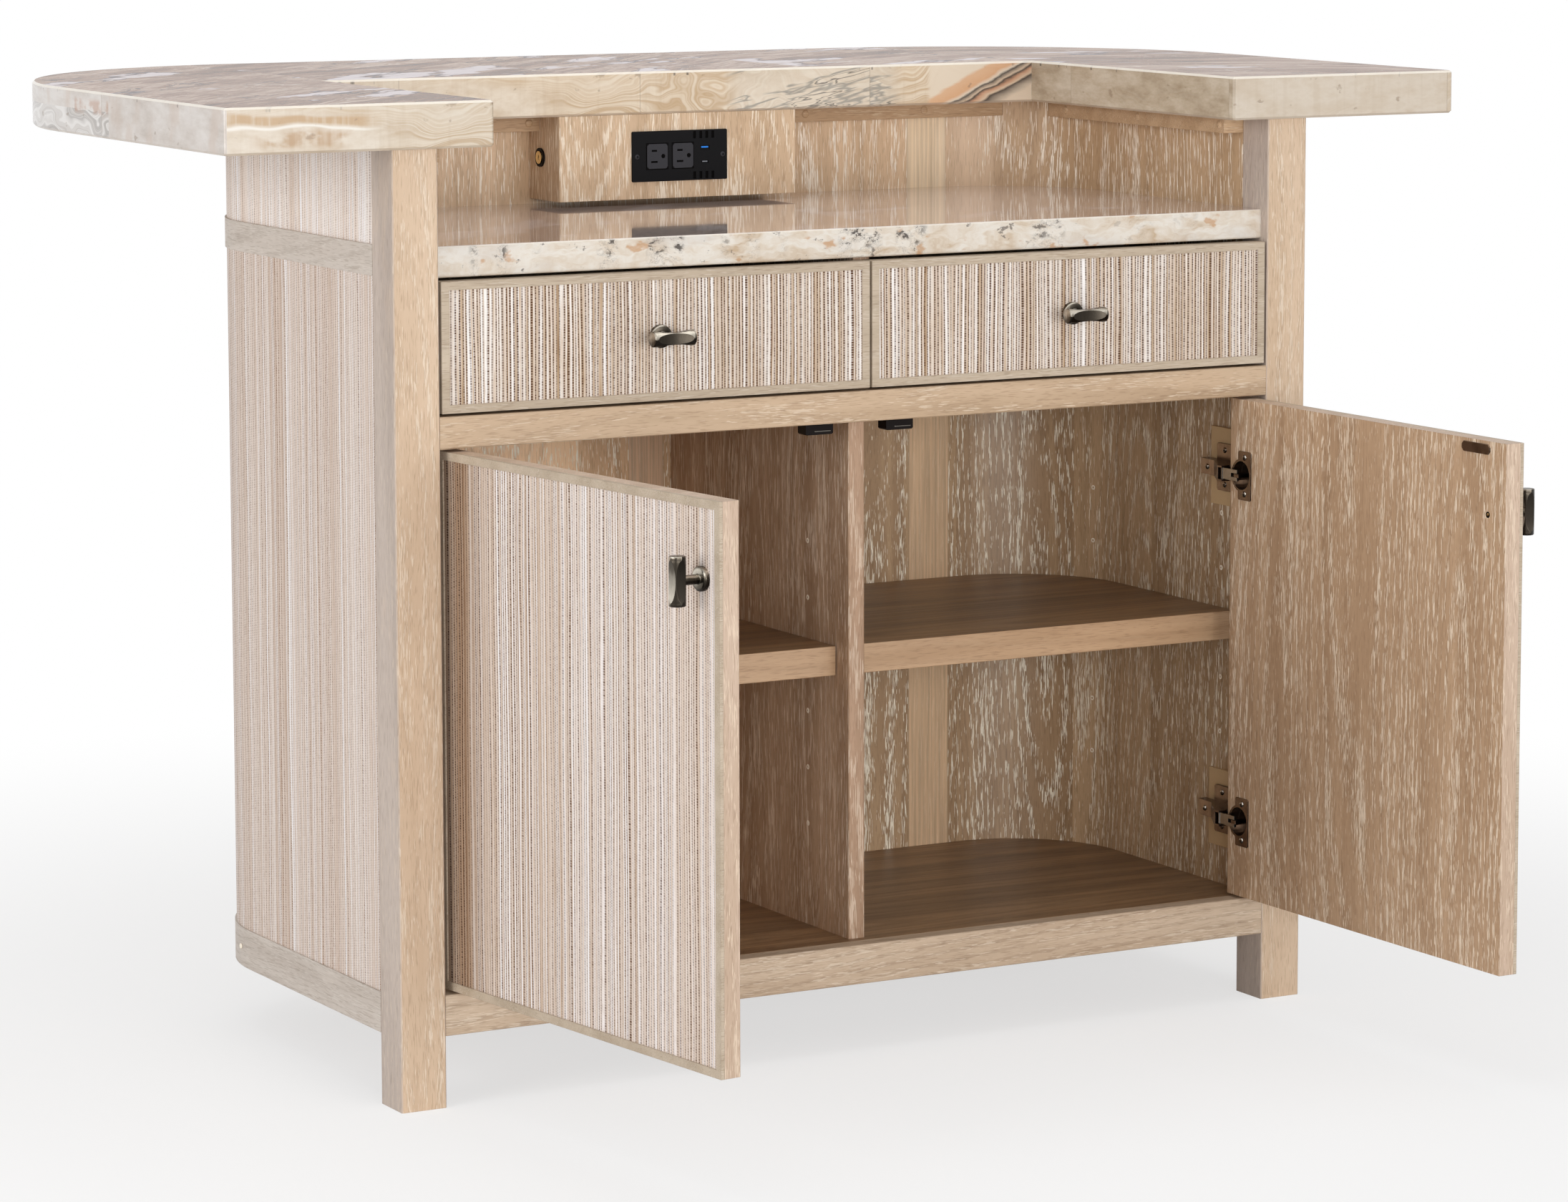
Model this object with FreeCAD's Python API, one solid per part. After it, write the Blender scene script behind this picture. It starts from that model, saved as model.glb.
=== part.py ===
"""Bar cabinet seen from the bartender's side: a U-shaped stone bar top on a wrap-round body.

Millimetres, +Z up, +X to the right of someone who faces the doors, -Y towards that person.
The model is drawn with y = 0 at the front faces of the legs, and is moved in Y as it is written
out, so that the origin is the middle of the footprint, open doors included, on the floor.
Both doors stand open, as far as the two *_DOOR_OPEN angles say; the drawers are shut.
"""
import FreeCAD, Part
import math
import os

V = FreeCAD.Vector

# ---------------------------------------------------------------- driving dimensions
# Overall
TOTAL_HEIGHT = 1067.0          # floor to the stone bar top
BODY_WIDTH = 1140.0            # over the two front legs
BODY_BACK = 592.0              # legs' front faces to the back of the woven wall
BODY_RADIUS = 185.0            # outside radius of the two back corners

# Bar top
TOP_THICK = 49.0
TOP_SIDE_OVERHANG = 192.0      # beyond the legs, each side
TOP_FRONT_OVERHANG = 16.0
TOP_BACK_OVERHANG = 232.0
TOP_RADIUS = 368.0             # back corners
WING_WIDTH = 302.0             # each arm of the U
NOTCH_BACK = 420.0             # legs' front faces to the bottom of the U
EASED_EDGE = 2.5

# Legs, rails and bands
LEG = 52.0                     # square section
LEG_EDGE = 1.2                 # flats along the legs' long edges
RAIL_SETBACK = 0.7
RAIL_THICK = 22.0
DRAWER_RAIL_HEIGHT = 34.0
DRAWER_SPACE = 144.5           # rail's top to the stone over the drawers
FLOOR_TOP = 121.0
BOTTOM_RAIL_HEIGHT = 44.0
MID_BAND_HEIGHT = 33.0
MID_BAND_LIFT = 2.0            # above the stone's underside
REAR_FOOT_X = 400.0            # centre of each back foot, out of sight under the body
REAR_FOOT_INSET = 62.0         # back of the foot to the back of the woven wall

# Walls
SHELL_THICK = 14.0
WEAVE_THICK = 3.0
WEAVE_RECESS = 2.0             # weave behind the bands' faces
LINING_THICK = 12.0
BEND_PARTS = 3                 # boards in each bent corner
NICHE_BACK = 500.0
NICHE_RADIUS = 150.0
BAY_BACK = 455.0
BAY_RADIUS = 140.0
PANEL_THICK = 19.0
DIVIDER_THICK = 20.0
DIVIDER_SETBACK = 33.0
DUST_PANEL_THICK = 12.0

# Stone work top inside the niche
STONE_THICK = 33.0
NICHE_HEIGHT = 104.0           # stone to the underside of the bar top
STONE_SETBACK = 13.5

# Shelves
SHELF_THICK = 33.0
SHELF_LEVEL = 0.56             # of the bay's height
SHELF_SETBACK = 60.0
SHELF_GAP = 1.5
PIN_RADIUS = 2.5
PIN_SIDES = 8
PIN_LENGTH = 9.0
PIN_FROM_EDGE = 45.0

# Cleats under the bar top
CLEAT_HEIGHT = 19.0
CLEAT_DEPTH = 26.0

# Power box
BOX_WIDTH = 307.0
BOX_CENTRE_X = -14.5
BOX_FRONT = 422.0
BOX_STONE_GAP = 6.5
PLATE_WIDTH = 123.0
PLATE_HEIGHT = 58.0
PLATE_THICK = 2.5
OUTLET_WIDTH = 26.5
OUTLET_HEIGHT = 28.5
OUTLET_RISE = 0.8
OUTLET_CORNER = 2.5
EARTH_X = 7.5                  # earth hole's centre from the outlet's
EARTH_REACH = 2.5
BLADE_X = -4.0                 # blade slots' middle from the outlet's
BLADE_Z = 6.4
BLADE_LENGTHS = (8.5, 7.0)     # lower and upper slot
BLADE_WIDTH = 2.2
OUTLET_CENTRES = (-29.5, 3.7)  # from the plate's centre
PORT_X = 32.5
PORT_Z = 8.2
USB_A_SIZE = (12.2, 5.0)
USB_C_SIZE = (9.0, 3.2)
VENT_X = (19.0, 27.1, 35.0, 42.8)
VENT_WIDTH = 3.5
VENT_LENGTH = 10.0
VENT_MARGIN = 1.5
BUTTON_Y = 470.0
BEZEL_RADIUS = 10.8
BEZEL_RISE = 2.2
BUTTON_RADIUS = 7.4
BUTTON_PROUD = 3.2
BUTTON_TRAVEL = 2.0
BUTTON_STEM = 9.0
BUTTON_SLOT = (1.6, 4.8, 0.8)  # width, length, depth
RUN_CLEAR = 0.3                # between pieces that move past each other

# Doors
DOOR_THICK = 23.0
DOOR_SIDE_GAP = 3.5            # hinge edge to the leg
DOOR_END_GAP = 3.5             # above and below
DOOR_HALF_GAP = 1.5            # door's free edge to the centre line
LEFT_DOOR_OPEN = 83.0
RIGHT_DOOR_OPEN = 91.0
PIVOT_IN = 14.1                # pivot from the door's hinge edge
PIVOT_DEEP = 8.6               # pivot behind the door's face
FRAME_WIDTH = 9.0              # flat moulding round each woven panel
FRAME_THICK = 4.0
PANEL_RECESS = 1.5             # weave behind the moulding's face
KNOB_FROM_EDGE = 31.0
KNOB_FROM_TOP = 79.0

# Door hinges
CUP_RADIUS = 17.5
CUP_DEPTH = 12.0
CUP_FROM_EDGE = 22.5
CUP_WALL = 1.2
CUP_RIM = 1.5                  # round rim beyond the cup's wall
CUP_SIDES = 20
FLANGE_WIDTH = 25.0
FLANGE_LENGTH = 56.0
FLANGE_THICK = 1.2
FLANGE_SHIFT = 6.5             # flange's middle to the cup's, away from the hinge edge
FLANGE_CORNER = 1.5
HINGE_FROM_END = 87.0
LINK_WIDTH = 13.0
LINK_THICK = 3.0
LINK_LENGTH = 30.0
LINK_OFF_OPEN = 5.5            # link's middle to the inner face of the door at a right angle
LINK_OFF_SHUT = 7.3            # and to that of the shut door
ARM_FRONT = 26.5
ARM_BACK = 105.0
ARM_HEIGHT = 18.0
ARM_HEEL = 11.0                # arm's depth off its plate at the back
ARM_BEND = (30.0, 13.0)        # bend: ahead of the heel, depth off the plate
ARM_NOSE = (5.0, 9.0)          # nose: half width across the pin, length
ARM_NECK = (2.0, 16.0)         # neck: off the plate, behind the nose's tip
ARM_PIN = 1.6
ARM_PLATE_EDGE = 4.0           # mounting plate's front edge behind the leg
ARM_SLOT_OUT = 18.0            # the arm's slot reaches this far past the pin towards the wall
KNUCKLE = 2.4                  # half thickness of the link's rolled end
KNUCKLE_SIDES = 12
TONGUE = (9.0, 4.0, 8.0)       # along the door, height, reach from its inner face
TONGUE_PLAY = 0.2
TONGUE_SLOT = 12.0             # slot in the link's end
HINGE_PAD = (54.0, 90.0, 4.0)  # along the wall, height, thickness
HINGE_PLATE = (32.0, 55.0, 4.0)

# Magnetic catches
CATCH_SIZE = (34.0, 18.0, 14.5)
CATCH_X = 50.5
STRIKE_SIZE = (49.0, 11.0, 1.2)
STRIKE_X = 54.0
STRIKE_DROP = 3.5              # strike's top below the door's

# Drawers
DRAWER_HALF_GAP = 1.5
DRAWER_SIDE_GAP = 3.0
DRAWER_TOP_GAP = 3.0
DRAWER_FRONT_THICK = 20.0
BOX_BOARD = 12.0
BOX_BOTTOM = 6.0
BOX_BOTTOM_LIFT = 8.0
BOX_HEIGHT = 96.0
BOX_LIFT = 18.0                # drawer box above the drawer front's lower edge
BOX_LENGTH = 345.0
DRAWER_TRAVEL = 280.0
SLIDE_GAP = 13.0               # between the drawer box and the wall beside it
SLIDE_HEIGHT = 42.0
SLIDE_LENGTH = 288.0
SLIDE_SHEET = 1.5
SLIDE_STEP = 4.0               # each member nests this much inside the last

# Pulls and knobs: a round bar with a square waist, on a stem
PULL_BAR = 50.0
PULL_RADIUS = 8.5
PULL_WAIST = 12.3              # across the flats of the square waist
PULL_ROUND_END = 3.5           # length of each end that stays round
BAR_SIDES = 20
SCOOP_STEPS = 8
PULL_REACH = 30.0              # bar's centre line to the face it stands on
PULL_STEM = 5.0
STEM_SIDES = 16
ROSETTE_RADIUS = 12.6
ROSETTE_THICK = 5.5

# ---------------------------------------------------------------- sizes that follow
HALF_BODY = BODY_WIDTH / 2
HALF_OPENING = HALF_BODY - LEG
TOP_UNDER = TOTAL_HEIGHT - TOP_THICK
HALF_TOP = HALF_BODY + TOP_SIDE_OVERHANG
TOP_BACK = BODY_BACK + TOP_BACK_OVERHANG
STONE_TOP = TOP_UNDER - NICHE_HEIGHT
STONE_UNDER = STONE_TOP - STONE_THICK
DRAWER_RAIL_TOP = STONE_UNDER - DRAWER_SPACE
DRAWER_RAIL_BOTTOM = DRAWER_RAIL_TOP - DRAWER_RAIL_HEIGHT
BODY_BOTTOM = FLOOR_TOP - BOTTOM_RAIL_HEIGHT
MID_BAND_BOTTOM = STONE_UNDER + MID_BAND_LIFT
MID_BAND_TOP = MID_BAND_BOTTOM + MID_BAND_HEIGHT
SHELF_TOP = FLOOR_TOP + SHELF_LEVEL * (DRAWER_RAIL_BOTTOM - FLOOR_TOP)
SKIN = WEAVE_THICK + WEAVE_RECESS
DUST_TOP = DRAWER_RAIL_BOTTOM + DUST_PANEL_THICK
DOOR_BOTTOM = FLOOR_TOP + DOOR_END_GAP
DOOR_TOP = DRAWER_RAIL_BOTTOM - DOOR_END_GAP
DOOR_OUT = HALF_OPENING - DOOR_SIDE_GAP
DOOR_FACE = RAIL_SETBACK
DOOR_BACK = DOOR_FACE + DOOR_THICK
PIVOT_X = DOOR_OUT - PIVOT_IN
PIVOT_Y = DOOR_FACE + PIVOT_DEEP
PIVOT_TO_BACK = DOOR_THICK - PIVOT_DEEP
LINK_X = PIVOT_X - PIVOT_TO_BACK - LINK_OFF_OPEN
LINK_Y = PIVOT_Y + PIVOT_TO_BACK + LINK_OFF_SHUT
HINGE_HEIGHTS = (DOOR_BOTTOM + HINGE_FROM_END, DOOR_TOP - HINGE_FROM_END)
KNOB_Z = DOOR_TOP - KNOB_FROM_TOP
CATCH_Z = DRAWER_RAIL_BOTTOM - CATCH_SIZE[2]
DRAWER_BOTTOM = DRAWER_RAIL_TOP + DRAWER_TOP_GAP
DRAWER_TOP = STONE_UNDER - DRAWER_TOP_GAP
DRAWER_OUT = HALF_OPENING - DRAWER_SIDE_GAP
DRAWER_BACK_FACE = RAIL_SETBACK + DRAWER_FRONT_THICK
BOX_Z0 = DRAWER_BOTTOM + BOX_LIFT
BOX_Z1 = BOX_Z0 + BOX_HEIGHT
BOX_X0 = DIVIDER_THICK / 2 + SLIDE_GAP
BOX_X1 = HALF_OPENING - SLIDE_GAP
POWER_X0 = BOX_CENTRE_X - BOX_WIDTH / 2
POWER_X1 = BOX_CENTRE_X + BOX_WIDTH / 2
POWER_Z0 = STONE_TOP + BOX_STONE_GAP
PLATE_Z = (POWER_Z0 + TOP_UNDER) / 2
BUTTON_Z = PLATE_Z
PORT_DEPTH = 1.2               # outlet slots and port recesses

# The open doors reach furthest forward; the bar top reaches furthest back.
DOOR_WIDTH = DOOR_OUT - DOOR_HALF_GAP


def door_reach(angle):
    """Y of the free edge's foremost corner with the door open by that angle, in degrees."""
    turn = math.radians(angle)
    along = DOOR_WIDTH - PIVOT_IN
    face = PIVOT_Y - along * math.sin(turn) - PIVOT_DEEP * math.cos(turn)
    back = PIVOT_Y - along * math.sin(turn) + PIVOT_TO_BACK * math.cos(turn)
    return min(face, back)


FRONT_REACH = min(door_reach(LEFT_DOOR_OPEN), door_reach(RIGHT_DOOR_OPEN), -TOP_FRONT_OVERHANG)
ORIGIN_Y = (FRONT_REACH + TOP_BACK) / 2


# ---------------------------------------------------------------- helpers
def block(x0, x1, y0, y1, z0, z1):
    """A box between two opposite corners."""
    return Part.makeBox(x1 - x0, y1 - y0, z1 - z0, V(x0, y0, z0))


def rod(radius, start, axis, length):
    """A cylinder from a point along an axis."""
    return Part.makeCylinder(radius, length, start, axis)


def face_of(points):
    """A flat face inside a closed polygon."""
    return Part.Face(Part.makePolygon(points + [points[0]]))


def mirrored(shape):
    """The same piece on the other side of the centre line."""
    return shape.mirror(V(0, 0, 0), V(1, 0, 0))


def vertical_edges(shape):
    """Straight edges of a shape that run along Z."""
    found = []
    for edge in shape.Edges:
        low, high = edge.Vertexes[0].Point, edge.Vertexes[-1].Point
        if abs(low.x - high.x) < 1e-6 and abs(low.y - high.y) < 1e-6 and abs(low.z - high.z) > 1e-6:
            found.append(edge)
    return found


def long_edges(shape, axis):
    """Straight edges of a block that run along one axis: 0, 1 or 2."""
    found = []
    for edge in shape.Edges:
        run = edge.Vertexes[-1].Point - edge.Vertexes[0].Point
        if abs(abs(run[axis]) - run.Length) < 1e-6:
            found.append(edge)
    return found


def prism(sides, reach, start, axis, length):
    """A regular prism from a point along an axis; reach is from its middle to its flats."""
    corner = reach / math.cos(math.pi / sides)
    points = [V(corner * math.cos(2 * math.pi * k / sides), corner * math.sin(2 * math.pi * k / sides), 0)
              for k in range(sides)]
    shape = face_of(points).extrude(V(0, 0, length))
    shape.rotate(V(0, 0, 0), V(0, 0, 1), 180.0 / sides)
    shape.Placement = FreeCAD.Placement(start, FreeCAD.Rotation(V(0, 0, 1), axis)) * shape.Placement
    return shape


def eased_block(x0, x1, y0, y1, z0, z1, axis, flat):
    """A box whose edges along one axis are eased by narrow flats."""
    shape = block(x0, x1, y0, y1, z0, z1)
    return shape.makeChamfer(flat, long_edges(shape, axis))


def wall_plan(half_width, y_front, y_back, radius, z0, z1):
    """A solid with square front corners and round back corners, symmetrical about x = 0."""
    lean = radius * (1 - math.sqrt(0.5))
    side = half_width
    turn = half_width - radius
    low = [
        Part.makeLine(V(-side, y_front, z0), V(side, y_front, z0)),
        Part.makeLine(V(side, y_front, z0), V(side, y_back - radius, z0)),
        Part.Arc(V(side, y_back - radius, z0), V(side - lean, y_back - lean, z0),
                 V(turn, y_back, z0)).toShape(),
        Part.makeLine(V(turn, y_back, z0), V(-turn, y_back, z0)),
        Part.Arc(V(-turn, y_back, z0), V(-side + lean, y_back - lean, z0),
                 V(-side, y_back - radius, z0)).toShape(),
        Part.makeLine(V(-side, y_back - radius, z0), V(-side, y_front, z0)),
    ]
    return Part.Face(Part.Wire(low)).extrude(V(0, 0, z1 - z0))


def wrap(half_width, y_front, y_back, radius, thick, z0, z1):
    """A U-shaped wall: the plan above less the same plan moved in by the wall's thickness."""
    outer = wall_plan(half_width, y_front, y_back, radius, z0, z1)
    inner = wall_plan(half_width - thick, y_front - 1, y_back - thick, radius - thick, z0 - 1, z1 + 1)
    return outer.cut(inner)


def wrap_in_boards(half_width, y_front, y_back, radius, thick, z0, z1):
    """The same wall as boards: two flat sides, a flat back and bent pieces in the two corners."""
    bend_y = y_back - radius
    bend_x = half_width - radius
    boards = [block(-bend_x, bend_x, y_back - thick, y_back, z0, z1)]
    step = 90.0 / BEND_PARTS
    for side in (-1, 1):
        x0, x1 = sorted((side * (half_width - thick), side * half_width))
        boards.append(block(x0, x1, y_front, bend_y, z0, z1))
        for k in range(BEND_PARTS):
            bend = Part.makeCylinder(radius, z1 - z0, V(0, 0, z0), V(0, 0, 1), step)
            bend = bend.cut(rod(radius - thick, V(0, 0, z0 - 1), V(0, 0, 1), z1 - z0 + 2))
            bend.rotate(V(0, 0, 0), V(0, 0, 1), k * step if side > 0 else 90 + k * step)
            bend.translate(V(side * bend_x, bend_y, 0))
            boards.append(bend)
    return boards


PARTS = {}


def keep(node, *shapes):
    """Add solids to a node; a list of solids is taken apart."""
    for shape in shapes:
        if isinstance(shape, (list, tuple)):
            keep(node, *shape)
        else:
            PARTS.setdefault(node, []).extend(shape.Solids)


# ---------------------------------------------------------------- body
def bar_top():
    """U-shaped slab with large back corners and eased edges."""
    slab = wall_plan(HALF_TOP, -TOP_FRONT_OVERHANG, TOP_BACK, TOP_RADIUS, TOP_UNDER, TOTAL_HEIGHT)
    notch = HALF_TOP - WING_WIDTH
    slab = slab.cut(block(-notch, notch, -TOP_FRONT_OVERHANG - 1, NOTCH_BACK,
                          TOP_UNDER - 1, TOTAL_HEIGHT + 1))
    front = []
    for edge in vertical_edges(slab):
        if abs(edge.Vertexes[0].Point.y + TOP_FRONT_OVERHANG) < 1e-6:
            front.append(edge)
    slab = slab.makeChamfer(EASED_EDGE, front)
    rim = []
    for edge in slab.Edges:
        heights = [vertex.Point.z for vertex in edge.Vertexes]
        if max(heights) - min(heights) < 1e-6:
            rim.append(edge)
    return slab.makeChamfer(EASED_EDGE, rim)


def leg(side):
    """Square front leg from the floor to the underside of the bar top."""
    x0, x1 = sorted((side * HALF_BODY, side * HALF_OPENING))
    return eased_block(x0, x1, 0, LEG, 0, TOP_UNDER, 2, LEG_EDGE)


def rear_foot(side):
    """Short back foot, set in under the body."""
    middle = side * REAR_FOOT_X
    back = BODY_BACK - REAR_FOOT_INSET
    return eased_block(middle - LEG / 2, middle + LEG / 2, back - LEG, back, 0,
                       FLOOR_TOP - PANEL_THICK, 2, LEG_EDGE)


def rail(z0, height):
    """Front rail between the legs."""
    return eased_block(-HALF_OPENING, HALF_OPENING, RAIL_SETBACK, RAIL_SETBACK + RAIL_THICK,
                       z0, z0 + height, 0, 1.0)


def body_walls():
    """Bent outer shell, its woven skins and the two wooden bands round it."""
    skin_back = BODY_BACK - SKIN
    keep("outer_shell", wrap_in_boards(HALF_BODY - SKIN, LEG, skin_back, BODY_RADIUS - SKIN,
                                       SHELL_THICK, BODY_BOTTOM, TOP_UNDER))
    bottom_top = BODY_BOTTOM + BOTTOM_RAIL_HEIGHT
    for node, z0, z1 in (("bottom_band", BODY_BOTTOM, bottom_top),
                         ("mid_band", MID_BAND_BOTTOM, MID_BAND_TOP)):
        keep(node, wrap(HALF_BODY, LEG, BODY_BACK, BODY_RADIUS, SKIN, z0, z1))
    for node, z0, z1 in (("lower_weave", bottom_top, MID_BAND_BOTTOM),
                         ("upper_weave", MID_BAND_TOP, TOP_UNDER)):
        keep(node, wrap(HALF_BODY - WEAVE_RECESS, LEG, BODY_BACK - WEAVE_RECESS,
                        BODY_RADIUS - WEAVE_RECESS, WEAVE_THICK, z0, z1))


def linings():
    """Veneered inner walls of the niche and of the two bays."""
    keep("niche_lining", wrap_in_boards(HALF_OPENING + LINING_THICK, LEG, NICHE_BACK + LINING_THICK,
                                        NICHE_RADIUS + LINING_THICK, LINING_THICK,
                                        STONE_UNDER, TOP_UNDER))
    keep("bay_lining", wrap_in_boards(HALF_OPENING + LINING_THICK, LEG, BAY_BACK + LINING_THICK,
                                      BAY_RADIUS + LINING_THICK, LINING_THICK,
                                      FLOOR_TOP, STONE_UNDER))


def work_top():
    """Stone shelf inside the niche, over the drawers."""
    slab = wall_plan(HALF_OPENING, STONE_SETBACK, NICHE_BACK, NICHE_RADIUS, STONE_UNDER, STONE_TOP)
    front = [edge for edge in long_edges(slab, 0)
             if abs(edge.Vertexes[0].Point.y - STONE_SETBACK) < 1e-6]
    return slab.makeFillet(EASED_EDGE, front)


def cabinet_floor():
    """Floor panel of the bays, which also closes the cavity behind them."""
    plan = wall_plan(HALF_BODY - SKIN - SHELL_THICK, LEG, BODY_BACK - SKIN - SHELL_THICK,
                     BODY_RADIUS - SKIN - SHELL_THICK, FLOOR_TOP - PANEL_THICK, FLOOR_TOP)
    lip = block(-HALF_OPENING, HALF_OPENING, RAIL_SETBACK + RAIL_THICK, LEG,
                FLOOR_TOP - PANEL_THICK, FLOOR_TOP)
    return plan.fuse(lip).removeSplitter()


def dust_panel():
    """Panel under the drawers, flush with the underside of the rail."""
    plan = wall_plan(HALF_OPENING, RAIL_SETBACK + RAIL_THICK, BAY_BACK, BAY_RADIUS,
                     DRAWER_RAIL_BOTTOM, DUST_TOP)
    return plan


def dividers():
    """Upright between the bays and the one between the drawers."""
    half = DIVIDER_THICK / 2
    keep("centre_dividers", eased_block(-half, half, DIVIDER_SETBACK, BAY_BACK, FLOOR_TOP,
                                        DRAWER_RAIL_BOTTOM, 2, 1.0))
    keep("centre_dividers", block(-half, half, RAIL_SETBACK + RAIL_THICK, BAY_BACK,
                                  DUST_TOP, STONE_UNDER))


def shelf(side):
    """Loose shelf with one round back corner."""
    inner = DIVIDER_THICK / 2 + SHELF_GAP
    plan = wall_plan(HALF_OPENING - SHELF_GAP, SHELF_SETBACK, BAY_BACK - SHELF_GAP,
                     BAY_RADIUS - SHELF_GAP, SHELF_TOP - SHELF_THICK, SHELF_TOP)
    half = plan.common(block(inner, HALF_OPENING, 0, BAY_BACK, 0, TOTAL_HEIGHT))
    front = [edge for edge in long_edges(half, 0)
             if abs(edge.Vertexes[0].Point.y - SHELF_SETBACK) < 1e-6]
    half = half.makeFillet(1.0, front)
    return half if side > 0 else mirrored(half)


def shelf_pins():
    """Four faceted pins under each shelf, in the divider and in the side walls."""
    under = SHELF_TOP - SHELF_THICK - PIN_RADIUS
    rows = (SHELF_SETBACK + PIN_FROM_EDGE, BAY_BACK - BAY_RADIUS - PIN_FROM_EDGE)
    for y in rows:
        for side in (-1, 1):
            near = V(side * DIVIDER_THICK / 2, y, under)
            far = V(side * HALF_OPENING, y, under)
            keep("shelf_pins", prism(PIN_SIDES, PIN_RADIUS, near, V(side, 0, 0), PIN_LENGTH))
            keep("shelf_pins", prism(PIN_SIDES, PIN_RADIUS, far, V(-side, 0, 0), PIN_LENGTH))


def cleats():
    """Battens under the bar top, round three walls of the niche."""
    room = wall_plan(HALF_OPENING, LEG, NICHE_BACK, NICHE_RADIUS, TOP_UNDER - CLEAT_HEIGHT, TOP_UNDER)
    inner = HALF_OPENING - CLEAT_DEPTH
    front = NICHE_BACK - CLEAT_DEPTH
    z0 = TOP_UNDER - CLEAT_HEIGHT
    for side in (-1, 1):
        batten = room.common(block(inner, HALF_OPENING, LEG, front, z0, TOP_UNDER))
        keep("top_cleats", batten if side > 0 else mirrored(batten))
    for x0, x1 in ((-HALF_OPENING, POWER_X0), (POWER_X1, HALF_OPENING)):
        keep("top_cleats", room.common(block(x0, x1, front, NICHE_BACK, z0, TOP_UNDER)))


# ---------------------------------------------------------------- power box
def power_box():
    """Oak box hung under the bar top, with a bore for the push button in its left side."""
    box = eased_block(POWER_X0, POWER_X1, BOX_FRONT, NICHE_BACK, POWER_Z0, TOP_UNDER, 2, 1.0)
    bore = rod(BUTTON_RADIUS + RUN_CLEAR, V(POWER_X0 - 1, BUTTON_Y, BUTTON_Z), V(1, 0, 0),
               BUTTON_STEM + BUTTON_TRAVEL + 2)
    return box.cut(bore)


def outlet_plate():
    """Black cover plate with two sockets, two charging ports and vent slots at its edges."""
    face = BOX_FRONT - PLATE_THICK
    x_mid = BOX_CENTRE_X
    plate = block(x_mid - PLATE_WIDTH / 2, x_mid + PLATE_WIDTH / 2, face, BOX_FRONT,
                  PLATE_Z - PLATE_HEIGHT / 2, PLATE_Z + PLATE_HEIGHT / 2)
    plate = plate.makeChamfer(1.0, long_edges(plate, 1))
    for x in VENT_X:
        for rise in (-1, 1):
            z_edge = PLATE_Z + rise * PLATE_HEIGHT / 2
            z0, z1 = sorted((z_edge - rise * VENT_LENGTH, z_edge - rise * VENT_MARGIN))
            plate = plate.cut(block(x_mid + x - VENT_WIDTH / 2, x_mid + x + VENT_WIDTH / 2,
                                    face - 1, face + PORT_DEPTH, z0, z1))
    for rise, size in ((1, USB_A_SIZE), (-1, USB_C_SIZE)):
        z = PLATE_Z + rise * PORT_Z
        plate = plate.cut(block(x_mid + PORT_X - size[0] / 2, x_mid + PORT_X + size[0] / 2,
                                face - 1, face + PORT_DEPTH, z - size[1] / 2, z + size[1] / 2))
    keep("outlet_plate", plate)

    for centre in OUTLET_CENTRES:
        x = x_mid + centre
        insert = block(x - OUTLET_WIDTH / 2, x + OUTLET_WIDTH / 2, face - OUTLET_RISE, face,
                       PLATE_Z - OUTLET_HEIGHT / 2, PLATE_Z + OUTLET_HEIGHT / 2)
        insert = insert.makeChamfer(OUTLET_CORNER, long_edges(insert, 1))
        for rise, length in zip((-1, 1), BLADE_LENGTHS):
            z = PLATE_Z + rise * BLADE_Z
            x0 = x + BLADE_X - length / 2
            insert = insert.cut(block(x0, x0 + length, face - 2, face + 1,
                                      z - BLADE_WIDTH / 2, z + BLADE_WIDTH / 2))
        insert = insert.cut(prism(8, EARTH_REACH, V(x + EARTH_X, face - 2, PLATE_Z), V(0, 1, 0), 3))
        keep("outlet_sockets", insert)

    for rise, size in ((1, USB_A_SIZE), (-1, USB_C_SIZE)):
        z = PLATE_Z + rise * PORT_Z
        tongue = block(x_mid + PORT_X - size[0] * 0.36, x_mid + PORT_X + size[0] * 0.36,
                       face + 0.1, face + PORT_DEPTH, z - size[1] * 0.05, z + size[1] * 0.32)
        keep("usb_tongues", tongue)


def power_button():
    """Bright round bezel and the sprung button inside it."""
    start = V(POWER_X0, BUTTON_Y, BUTTON_Z)
    ring = rod(BEZEL_RADIUS, start, V(-1, 0, 0), BEZEL_RISE)
    hole = rod(BUTTON_RADIUS + RUN_CLEAR, V(POWER_X0 + 1, BUTTON_Y, BUTTON_Z), V(-1, 0, 0), BEZEL_RISE + 2)
    keep("button_bezel", ring.cut(hole))
    button = rod(BUTTON_RADIUS, V(POWER_X0 + BUTTON_STEM, BUTTON_Y, BUTTON_Z), V(-1, 0, 0),
                 BUTTON_STEM + BUTTON_PROUD)
    width, length, depth = BUTTON_SLOT
    head = POWER_X0 - BUTTON_PROUD
    slot = block(head - 1, head + depth, BUTTON_Y - width / 2, BUTTON_Y + width / 2,
                 BUTTON_Z - length / 2, BUTTON_Z + length / 2)
    keep("power_button", button.cut(slot))


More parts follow.
